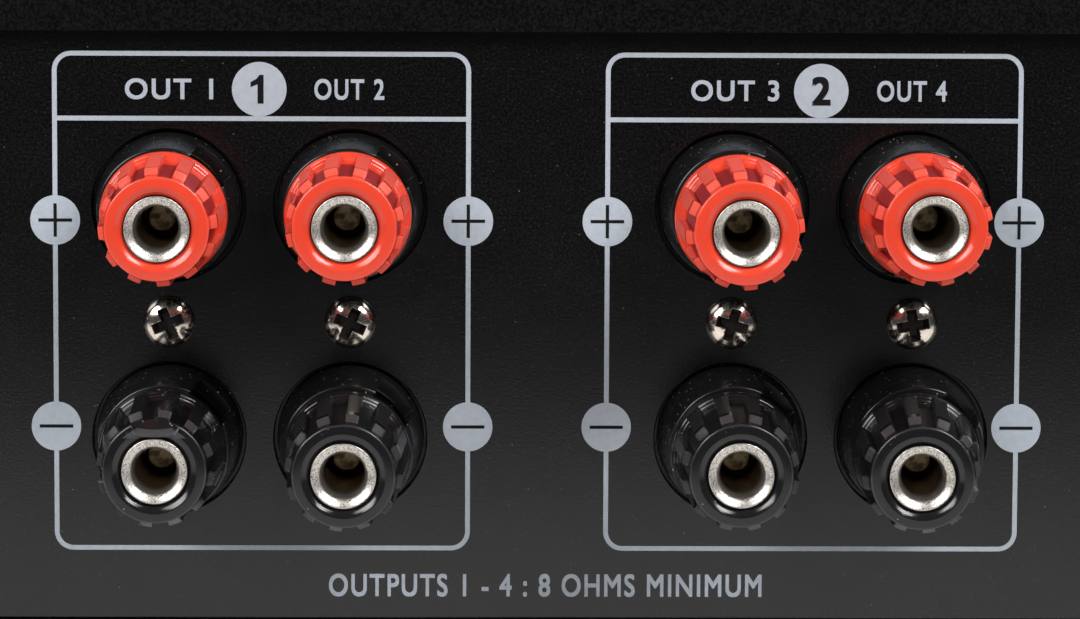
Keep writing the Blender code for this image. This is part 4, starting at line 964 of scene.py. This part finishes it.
while ridge > SHOULDER_TOP + THREAD_PITCH:
    stud_corners += [(STUD_RADIUS, ridge), (STUD_RADIUS - THREAD_DEPTH, ridge - THREAD_PITCH / 2)]
    ridge -= THREAD_PITCH
stud_corners += [
    (STUD_RADIUS, SHOULDER_TOP),
    (SHOULDER_RADIUS, SHOULDER_TOP, 0.15 * MM),
    (SHOULDER_RADIUS, SHOULDER_LOW, 0.15 * MM),
    (STUD_RADIUS, SHOULDER_LOW),
    (STUD_RADIUS, STUD_TAIL, 0.4 * MM),
    (0, STUD_TAIL),
]
reach = 3 * STUD_RADIUS
wire_hole = turned([(0, reach), (WIRE_HOLE, reach), (WIRE_HOLE, -reach), (0, -reach)], 32)
hole_turn = Matrix.Rotation(math.pi / 4, 4, "Z") @ Matrix.Rotation(math.pi / 2, 4, "Y")
wire_hole.transform(Matrix.Translation((0, 0, WIRE_HOLE_RISE)) @ hole_turn)
stud_mesh = carved(turned(stud_corners, 48), "DIFFERENCE", wire_hole)
for post, joint in post_joints.items():
    stud_node = f"stud_{post}"
    add_piece(f"threaded_{stud_node}", stud_mesh, brass_plate, "case", post_place(joint), "nickel", stud_node)


# Cores. Turned sleeves with a funnel mouth for a plug, plated in nickel that has dulled and pitted, and
# painted darker down the bore as painted shade; each is pressed into its cap and screws out on the stud.
CORE_RADIUS = 3.3 * MM
CORE_FRONT = 25.6 * MM
CORE_REAR = 7.0 * MM
BORE_RADIUS = 2.1 * MM
THROAT_RADIUS = 2.4 * MM
THROAT_DROP = 0.5 * MM
THROAT_DEPTH = 2.1 * MM
RIM_RADIUS = 3.2 * MM
BRIGHT_DEPTH = 0.9 * MM
DARK_DEPTH = 3.2 * MM
PITTED_FROM = (2.2 * MM, 2.5 * MM)
core_plate = plating("core_plate", (0.88, 0.845, 0.785), 0.36, 0.11 * MM, 0.013 * MM)
core_out = core_plate.from_axis()
core_height = core_plate.along("Z")
# Down the bore the plate is painted darker with depth, towards dark brown: painted shade in the bore.
painted_bore_shade = core_plate.product(
    core_plate.fade(core_out, BORE_RADIUS + 0.02 * MM, THROAT_RADIUS + 0.1 * MM),
    core_plate.fade(core_height, CORE_FRONT - DARK_DEPTH, CORE_FRONT - BRIGHT_DEPTH),
)
on_rim = core_plate.between(core_out, *PITTED_FROM)
pits = core_plate.product(core_plate.specks(0.17 * MM, 0.065 * MM, 0.45), on_rim)
sparkle = core_plate.between(core_plate.noise(0.09 * MM, 1), 0.4, 0.6)
frosted_core = core_plate.blend(sparkle, (0.46, 0.43, 0.40), core_plate.painted())
pitted_core = core_plate.blend(pits, frosted_core, (0.12, 0.11, 0.10))
core_plate.paint(painted_bore_shade, pitted_core, (0.37, 0.315, 0.25))
core_plate.relief(pits, -0.03 * MM)
core_mesh = turned(
    [
        (BORE_RADIUS, CORE_REAR),
        (BORE_RADIUS, CORE_FRONT - THROAT_DEPTH, 0.6 * MM),
        (THROAT_RADIUS, CORE_FRONT - THROAT_DROP, 0.32 * MM),
        (RIM_RADIUS, CORE_FRONT, 0.1 * MM),
        (CORE_RADIUS, CORE_FRONT - 0.06 * MM, 0.05 * MM),
        (CORE_RADIUS, CORE_REAR, 0.2 * MM),
    ],
    128,
    is_ring=True,
    easing_steps=8,
)
for post, joint in post_joints.items():
    core_node = f"core_{post}"
    add_piece(f"plated_{core_node}", core_mesh, core_plate, core_node, post_place(joint), "nickel", core_node)


# Screw caps. Ribbed caps moulded in glossy red and black plastic over the cores: a flange at the
# rear, twelve ribs with pockets between them, and a smooth nose with a dished mouth.
RIB_COUNT = 12
RIB_HALF = math.radians(6.3)
RIB_WALL = math.radians(1.5)
# The angles at which a rib and half of each pocket beside it are modelled, close together on its walls
WALL_SAMPLES = (6.1, 6.5, 6.9, 7.3, 7.7, 8.2, 9.4, 12)
RIB_SAMPLES = (-15, *[-sample for sample in reversed(WALL_SAMPLES)], -4, 0, 4, *WALL_SAMPLES)
NOSE_REAR = 24.75 * MM
# Corners of the section, in millimetres: radius, height and rounding
NOSE_CORNERS = [(5.25, 25.67, 0.22), (4.22, 25.8, 0.12), (3.72, 25.51, 0.1), (3.42, 25.15, 0.05)]
FLANGE_CORNERS = [(3.42, 10.3), (6.55, 10.3, 0.25), (6.55, 11.75, 0.3)]
RIB_CORNERS = [(6.42, 11.9, 0.05), (6.36, 12.9, 0.3), (5.98, 23.3, 0.12), (5.30, 24.75, 0.08)]
POCKET_CORNERS = [(6.32, 11.95, 0.05), (5.45, 12.9, 0.6), (5.08, 24.2, 0.12), (5.20, 24.75, 0.08)]
# How far each cap is turned, in degrees, as it was left when it was last done up
CAP_TURNS = {
    "a_right_plus": 6,
    "a_left_plus": 14,
    "b_right_plus": 6,
    "b_left_plus": 14.5,
    "a_right_minus": -10,
    "a_left_minus": -8.5,
    "b_right_minus": -15,
    "b_left_minus": 8,
}
# One cap has a scoop worn out of the top of its nose, deepest in the middle and at the front
CHIPPED_POST = "a_right_minus"
CHIP_REACH = 2.2 * MM
CHIP_REST = 4.25 * MM
CHIP_BOW = 0.056 / MM
CHIP_SLANT = 0.85
CHIP_REAR = 24.9 * MM


def rib_share(turn):
    """1 on a rib and 0 in a pocket, with a steep wall between them."""
    sector = math.tau / RIB_COUNT
    off = abs((turn + sector / 2) % sector - sector / 2)
    t = min(max((off - RIB_HALF) / RIB_WALL, 0), 1)
    return 1 - t * t * (3 - 2 * t)


rib_section = [point * MM for point in eased(FLANGE_CORNERS + RIB_CORNERS + NOSE_CORNERS)]
pocket_section = [point * MM for point in eased(FLANGE_CORNERS + POCKET_CORNERS + NOSE_CORNERS)]


def cap_section(turn):
    share = rib_share(turn)
    return [pocket.lerp(rib, share) for rib, pocket in zip(rib_section, pocket_section)]


cap_turns = []
for rib in range(RIB_COUNT):
    cap_turns += [math.radians(rib * 360 / RIB_COUNT + sample) for sample in RIB_SAMPLES]
cap_mesh = swept(cap_section, cap_turns, True)
chipped_cap_mesh = cap_mesh.copy()
chipped_cap_mesh.transform(Matrix.Rotation(math.radians(CAP_TURNS[CHIPPED_POST]), 4, "Z"))
for vertex in chipped_cap_mesh.vertices:
    across, rise, height = vertex.co
    if height > NOSE_REAR and abs(across) < CHIP_REACH:
        rest = CHIP_REST + CHIP_BOW * across**2 - CHIP_SLANT * max(height - CHIP_REAR, 0)
        vertex.co.y = min(rise, rest)

# Where the finish of a cap changes: each pair of radii or heights says where a change starts and ends
POCKET_RIM = (5.5 * MM, 5.62 * MM)
POCKET_REAR = (13.1 * MM, 13.4 * MM)
RAMP_RIM = (5.55 * MM, 5.65 * MM)
RAMP_FRONT = (12.8 * MM, 12.9 * MM)
RAMP_LINES = 0.3 * MM
RIB_TOP = (5.75 * MM, 5.85 * MM)
RIB_REAR = (12.2 * MM, 12.7 * MM)
RIB_FRONT = (21.7 * MM, 21.9 * MM)
CHAMFER_TOP = (5.36 * MM, 5.42 * MM)
CHAMFER_REAR = (23.1 * MM, 23.3 * MM)
RIBS_END = (24.6 * MM, 24.7 * MM)
NOSE_EDGE = (5.0 * MM, 5.1 * MM)
NOSE_EDGE_REAR = (25.45 * MM, 25.55 * MM)
NOSE_FACE = (25.5 * MM, 25.6 * MM)
SCOOP_RISE = (3.3 * MM, 3.5 * MM)
SCOOP_DEPTH = (CHIP_REAR, CHIP_REAR + 0.05 * MM)
SCOOP_RIM = (4.6 * MM, 4.7 * MM)


def cap_plastic(name, tones, roughness, dull, dust):
    """Cap moulding: painted dark on the pocket floors as painted shade, painted lighter on the rib fronts and
    nose edge as painted highlight, dull on the ribs, glossy on the nose.
    """
    plastic = Finish(name, tones["body"], roughness)
    out = plastic.from_axis()
    height = plastic.along("Z")
    behind_nose = plastic.fade(height, *RIBS_END)
    on_floor = plastic.product(
        plastic.fade(out, *POCKET_RIM), behind_nose, plastic.between(height, *POCKET_REAR)
    )
    on_ramp = plastic.product(plastic.between(out, *RAMP_RIM), plastic.fade(height, *RAMP_FRONT))
    on_rib = plastic.product(
        plastic.between(height, *RIB_REAR), plastic.fade(height, *RIB_FRONT), plastic.between(out, *RIB_TOP)
    )
    rib_front = plastic.product(
        plastic.between(out, *CHAMFER_TOP), plastic.between(height, *CHAMFER_REAR), behind_nose
    )
    nose_edge = plastic.product(
        plastic.between(out, *NOSE_EDGE), plastic.between(height, *NOSE_EDGE_REAR, 0.0, 0.6)
    )
    grainy = plastic.between(plastic.noise(0.2 * MM, 3), 0.35, 0.65, 0.45, 1.0)
    flow = plastic.blend(plastic.noise(2.0 * MM, 3), tones["body"], [part * 0.9 for part in tones["body"]])
    # The pocket floors are painted dark: painted shade in the recesses between the ribs.
    tone = plastic.blend(on_floor, flow, tones["pocket"])
    tone = plastic.blend(plastic.product(on_rib, grainy), tone, tones["rib"])
    # The rib fronts and the nose's outer edge are painted lighter: painted highlight where they catch the
    # lamps.
    tone = plastic.blend(plastic.largest(rib_front, nose_edge), tone, tones["wear_and_highlight"])
    plastic.paint(plastic.specks(0.55 * MM, 0.055 * MM, dust), tone, tones["fluff"])
    plastic.polish(plastic.largest(on_rib, rib_front, on_floor), 0.0, 1.0, roughness, dull)
    ring_turns = plastic.product(out, math.tau / RAMP_LINES)
    mould_lines = plastic.node("Math", {0: ring_turns}, operation="SINE").outputs[0]
    lined = plastic.largest(on_ramp, plastic.between(height, *NOSE_FACE, 0.0, 0.12))
    plastic.relief(plastic.product(lined, mould_lines), 0.02 * MM)
    return plastic.relief(plastic.noise(0.22 * MM, 2), 0.003 * MM)


# In these tone sets the pocket tone is painted shade on the pocket floors. The lighter tone for wear is
# painted highlight on the rib fronts and nose edge, and real wear in the chipped cap's scoop.
RED_TONES = {
    "body": (0.80, 0.062, 0.030),
    "pocket": (0.30, 0.011, 0.011),
    "rib": (0.70, 0.085, 0.06),
    "wear_and_highlight": (0.85, 0.088, 0.052),
    "fluff": (0.85, 0.5, 0.42),
}
BLACK_TONES = {
    "body": (0.010, 0.010, 0.011),
    "pocket": (0.005, 0.005, 0.006),
    "rib": (0.012, 0.012, 0.013),
    "wear_and_highlight": (0.04, 0.04, 0.042),
    "fluff": (0.36, 0.32, 0.28),
}
BLACK_ROUGHNESS = 0.13
BLACK_DULL = 0.34
BLACK_DUST = 0.32
CAP_SLOTS = {"plus": "red_plastic", "minus": "black_plastic"}
cap_finishes = {
    "plus": cap_plastic("red_cap_plastic", RED_TONES, 0.16, 0.5, 0.06),
    "minus": cap_plastic("black_cap_plastic", BLACK_TONES, BLACK_ROUGHNESS, BLACK_DULL, BLACK_DUST),
}
worn_plastic = cap_plastic("worn_cap_plastic", BLACK_TONES, BLACK_ROUGHNESS, BLACK_DULL, BLACK_DUST)
scoop = worn_plastic.product(
    worn_plastic.between(worn_plastic.along("Y"), *SCOOP_RISE),
    worn_plastic.between(worn_plastic.along("Z"), *SCOOP_DEPTH),
    worn_plastic.fade(worn_plastic.from_axis(), *SCOOP_RIM),
)
worn_plastic.polish(scoop, 0.0, 1.0, BLACK_ROUGHNESS, 0.5)
worn_plastic.paint(scoop, worn_plastic.painted(), BLACK_TONES["wear_and_highlight"])
for post, joint in post_joints.items():
    cap_node = f"cap_{post}"
    pole = post.split("_")[-1]
    cap_place = post_place(joint)
    if post == CHIPPED_POST:
        own_cap, own_finish = chipped_cap_mesh, worn_plastic
    else:
        own_cap, own_finish = cap_mesh, cap_finishes[pole]
        cap_place = cap_place @ Matrix.Rotation(math.radians(CAP_TURNS[post]), 4, "Z")
    add_piece(f"ribbed_{cap_node}", own_cap, own_finish, cap_node, cap_place, CAP_SLOTS[pole], cap_node)


# Switches and level control. Moulded switch bodies and a plated rotary control behind the front
# upstand; the control's bush comes through the faceplate and carries the knob's shaft.
for switch in ("power_switch", "speaker_switch"):
    dress(switch, case_plastic, 0.3 * MM)
can_plate = plating("control_can", (0.42, 0.41, 0.39), 0.35, 0.4 * MM, 0.004 * MM)
dress("level_control", can_plate, 0.2 * MM)
dress("level_shaft", can_plate, 0.2 * MM)


# Faceplate. Thick aluminium, brushed sideways and anodised black, with eased edges, bored for the
# buttons, the lamp and the knob's bush, and screwed on from behind.
face_low, face_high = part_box("faceplate")
FACE_FRONT = face_low.y
FACE_MIDDLE = (face_low.z + face_high.z) / 2
# The front frame: x to the right and y up as seen from the front, z out of the plate
FRONT = Matrix(((1, 0, 0, 0), (0, 0, -1, FACE_FRONT), (0, 1, 0, FACE_MIDDLE), (0, 0, 0, 1)))
FACE_CORNER = 1.2 * MM
FACE_EASING = 0.8 * MM
BUTTON_GAP = 0.4 * MM
BUSH_HOLE = 4.8 * MM
LENS_HOLE = 1.9 * MM


def control_place(node):
    """Where a control sits on the faceplate, and its radius."""
    low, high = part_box(node)
    return ((low.x + high.x) / 2, (low.z + high.z) / 2 - FACE_MIDDLE), (high.x - low.x) / 2


brushed = Finish("brushed_anodise", (0.022, 0.022, 0.024), 0.38, 0.85)
strokes = brushed.noise(0.12 * MM, 3, (0.006, 1, 1))
brushed.paint(strokes, (0.014, 0.014, 0.0155), (0.036, 0.036, 0.039))
brushed.polish(strokes, 0.25, 0.75, 0.3, 0.5)
brushed.relief(strokes, 0.006 * MM)
face_edges = [rectangle(face_high.x - face_low.x, face_high.z - face_low.z, FACE_CORNER, FACE_CORNER)]
buttons = ("power_button", "speaker_button_a", "speaker_button_b")
for button in buttons:
    button_middle, button_radius = control_place(button)
    face_edges.append(circle(button_radius + BUTTON_GAP, button_middle, True))
knob_middle, knob_radius = control_place("level_knob")
lens_middle, lens_flange = control_place("indicator_lens")
face_edges.append(circle(BUSH_HOLE, knob_middle, True))
face_edges.append(circle(LENS_HOLE, lens_middle, True, 48))
face_mesh = cut_sheet(face_edges, face_high.y - face_low.y, FACE_EASING)
add_piece("face_plate_sheet", face_mesh, brushed, "case", FRONT, "black_anodised", "faceplate")


# Front print. The same pale ink on the faceplate: a scale of ticks and plain numbers round the knob,
# on and off beside the power button and a number under each speaker button.
SCALE_START = math.radians(240)
SCALE_SWEEP = math.radians(300)
SCALE_COUNT = 11
TICK_RADIUS = 19.5 * MM
TICK_LENGTH = 2.0 * MM
TICK_WIDTH = 0.35 * MM
TICK_CORNER = 0.05 * MM
NUMBER_RADIUS = 24.2 * MM
FRONT_LETTERS = 2.3 * MM
WORD_GAP = 4 * MM
# Each word, the button that it stands beside, and whether it stands above or below that button
FRONT_WORDS = (
    ("ON", "power_button", 1),
    ("OFF", "power_button", -1),
    ("1", "speaker_button_a", -1),
    ("2", "speaker_button_b", -1),
)
face_print = []
for number in range(SCALE_COUNT):
    turn = SCALE_START - SCALE_SWEEP * number / (SCALE_COUNT - 1)
    ray = Vector((math.cos(turn), math.sin(turn)))
    tick = cut_sheet([rectangle(TICK_LENGTH, TICK_WIDTH, TICK_CORNER, TICK_CORNER)], INK_DEPTH)
    tick_place = Vector(knob_middle) + ray * (TICK_RADIUS + TICK_LENGTH / 2)
    tick.transform(Matrix.Translation((*tick_place, ON_INK)) @ Matrix.Rotation(turn, 4, "Z"))
    face_print.append(tick)
    number_place = Vector(knob_middle) + ray * NUMBER_RADIUS
    face_print.append(lettering(str(number), FRONT_LETTERS, number_place, ON_COAT))
for word, button, side in FRONT_WORDS:
    button_middle, button_radius = control_place(button)
    word_place = Vector(button_middle) + Vector((0, side * (button_radius + WORD_GAP)))
    face_print.append(lettering(word, FRONT_LETTERS, word_place, ON_COAT))
add_piece("face_print", together(face_print), ink, "case", FRONT, "white_plastic")


# Buttons. Turned aluminium buttons with a dished face and a bright chamfer, on plastic stems that
# press into the switches behind.
BUTTON_STAND = 5.0 * MM
BUTTON_DISH = 0.5 * MM
STEM_RADIUS = 2.0 * MM
BUTTON_BACK = -7.5 * MM
SPUN_LINES = 9 / MM
spun = Finish("spun_aluminium", (0.62, 0.62, 0.63), 0.3, 1.0)
spun_sockets = {"W": spun.product(spun.from_axis(), SPUN_LINES), "Scale": 1.0}
spun_lines = spun.node("TexNoise", spun_sockets, noise_dimensions="1D").outputs[0]
spun.paint(spun_lines, (0.5, 0.5, 0.51), (0.68, 0.68, 0.69))
spun.polish(spun_lines, 0.2, 0.8, 0.22, 0.4)
spun.relief(spun_lines, 0.006 * MM)
for button in buttons:
    button_middle, button_radius = control_place(button)
    stem_end = FACE_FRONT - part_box(button)[1].y
    button_mesh = turned(
        [
            (0, BUTTON_STAND - BUTTON_DISH),
            (button_radius * 0.5, BUTTON_STAND - BUTTON_DISH * 0.8, button_radius * 0.3),
            (button_radius - 0.9 * MM, BUTTON_STAND, 0.1 * MM),
            (button_radius, BUTTON_STAND - 0.8 * MM, 0.15 * MM),
            (button_radius, BUTTON_BACK),
            (STEM_RADIUS, BUTTON_BACK),
            (STEM_RADIUS, stem_end),
            (0, stem_end),
        ]
    )
    button_place = FRONT @ Matrix.Translation((*button_middle, 0))
    add_piece(f"dished_{button}", button_mesh, spun, button, button_place, "aluminium", button)


# Indicator lens. A clear green moulded lamp with a domed end, pushed through the plate from behind as
# far as its flange.
LENS_RADIUS = 1.6 * MM
LENS_SHELF = -7.8 * MM
lens_tail = FACE_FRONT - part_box("indicator_lens")[1].y
lens_green = Finish("lens_green", (0.05, 0.45, 0.12), 0.12)
lens_green.paint(lens_green.noise(1.2 * MM, 2), (0.035, 0.36, 0.09), (0.08, 0.55, 0.16))
lens_green.relief(lens_green.noise(0.4 * MM), 0.003 * MM)
lens_mesh = turned(
    [
        (0, LENS_RADIUS),
        (LENS_RADIUS, LENS_RADIUS, LENS_RADIUS),
        (LENS_RADIUS, LENS_SHELF),
        (lens_flange, LENS_SHELF, 0.1 * MM),
        (lens_flange, lens_tail, 0.1 * MM),
        (0, lens_tail),
    ],
    48,
    easing_steps=10,
)
lens_place = FRONT @ Matrix.Translation((*lens_middle, 0))
add_piece("domed_lens", lens_mesh, lens_green, "case", lens_place, "green_lens", "indicator_lens")


# Level knob. A turned aluminium knob with a plain skirt, a finely fluted grip and a dished face that
# has a black pointer line let into it.
FLUTE_COUNT = 60
FLUTE_DEPTH = 0.35 * MM
KNOB_GAP = 1.0 * MM
KNOB_SKIRT_TOP = 4.0 * MM
KNOB_BORE = 3.15 * MM
KNOB_BORE_END = 12.0 * MM
KNOB_DISH = 0.6 * MM
SKIRT_LEDGE = 1.0 * MM
POINTER_LENGTH = 6.0 * MM
POINTER_WIDTH = 1.1 * MM
POINTER_DEPTH = 1.2 * MM
POINTER_INSET = 1.2 * MM
knob_top = FACE_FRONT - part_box("level_knob")[0].y
grip_radius = knob_radius - SKIRT_LEDGE


def knob_corners(grip):
    return [
        (0, knob_top - KNOB_DISH),
        (grip_radius * 0.55, knob_top - KNOB_DISH * 0.75, grip_radius * 0.3),
        (grip_radius - 1.6 * MM, knob_top, 0.2 * MM),
        (grip_radius - 0.6 * MM, knob_top - 0.1 * MM, 0.3 * MM),
        (grip, knob_top - 1.1 * MM, 0.2 * MM),
        (grip, KNOB_SKIRT_TOP + 0.6 * MM, 0.2 * MM),
        (grip_radius, KNOB_SKIRT_TOP, 0.1 * MM),
        (knob_radius, KNOB_SKIRT_TOP - 0.3 * MM, 0.4 * MM),
        (knob_radius, KNOB_GAP, 0.3 * MM),
        (KNOB_BORE, KNOB_GAP),
        (KNOB_BORE, KNOB_BORE_END),
        (0, KNOB_BORE_END),
    ]


ridge_section = eased(knob_corners(grip_radius))
flute_section = eased(knob_corners(grip_radius - FLUTE_DEPTH))


def knob_section(turn):
    share = 0.5 - 0.5 * math.cos(FLUTE_COUNT * turn)
    return [flute.lerp(ridge, share) for ridge, flute in zip(ridge_section, flute_section)]


knob_steps = 6 * FLUTE_COUNT
knob_mesh = swept(knob_section, [math.tau * i / knob_steps for i in range(knob_steps)])
knob_place = FRONT @ Matrix.Translation((*knob_middle, 0))
add_piece("fluted_knob", knob_mesh, spun, "level_knob", knob_place, "aluminium", "level_knob")
pointer_edge = rectangle(POINTER_LENGTH, POINTER_WIDTH, 0.5 * MM, 0.5 * MM)
pointer_mesh = cut_sheet([pointer_edge], POINTER_DEPTH, 0.15 * MM)
pointer_turn = Matrix.Rotation(SCALE_START - SCALE_SWEEP / 2, 4, "Z")
pointer_point = (grip_radius - POINTER_INSET - POINTER_LENGTH / 2, 0, knob_top + 0.1 * MM)
pointer_place = knob_place @ pointer_turn @ Matrix.Translation(pointer_point)
add_piece("knob_pointer", pointer_mesh, dark_ink, "level_knob", pointer_place, "black_plastic")


# Top cover. A folded sheet-steel cover, slotted over the hot parts, whose rear lip laps the panel.
# Cross screws hold it through its sides and its lip.
COVER_SCREW_HEAD = 3.2 * MM
COVER_SCREW_RISE = 14.0 * MM
SIDE_SCREW_INSET = 30.0 * MM
LIP_SCREW_X = 128.0 * MM
LIP_SCREW_DROP = 4.6 * MM
dress("top_cover", case_coat, SHEET_EDGE)
cover_low, cover_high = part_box("top_cover")
cover_screw = cross_screw(COVER_SCREW_HEAD, head_height=1.9 * MM, shank_radius=1.5 * MM, length=3.0 * MM)
cover_screw_plate = screw_plating("cover_screw_plate", COVER_SCREW_HEAD)
side_screws = {"front": cover_low.y + SIDE_SCREW_INSET, "rear": cover_high.y - SIDE_SCREW_INSET}
lip_turn = REAR.to_3x3().to_4x4()
for side_name, side, side_x in (("left", -1, cover_low.x), ("right", 1, cover_high.x)):
    facing = Matrix.Rotation(side * math.pi / 2, 4, "Y")
    for end_name, screw_y in side_screws.items():
        screw_name = f"cover_screw_{side_name}_{end_name}"
        screw_place = Matrix.Translation((side_x, screw_y, cover_low.z + COVER_SCREW_RISE)) @ facing
        add_piece(screw_name, cover_screw, cover_screw_plate, "case", screw_place, "nickel")
    lip_point = (side * LIP_SCREW_X, cover_high.y, cover_high.z - LIP_SCREW_DROP)
    lip_place = Matrix.Translation(lip_point) @ lip_turn
    add_piece(f"lip_screw_{side_name}", cover_screw, cover_screw_plate, "case", lip_place, "nickel")
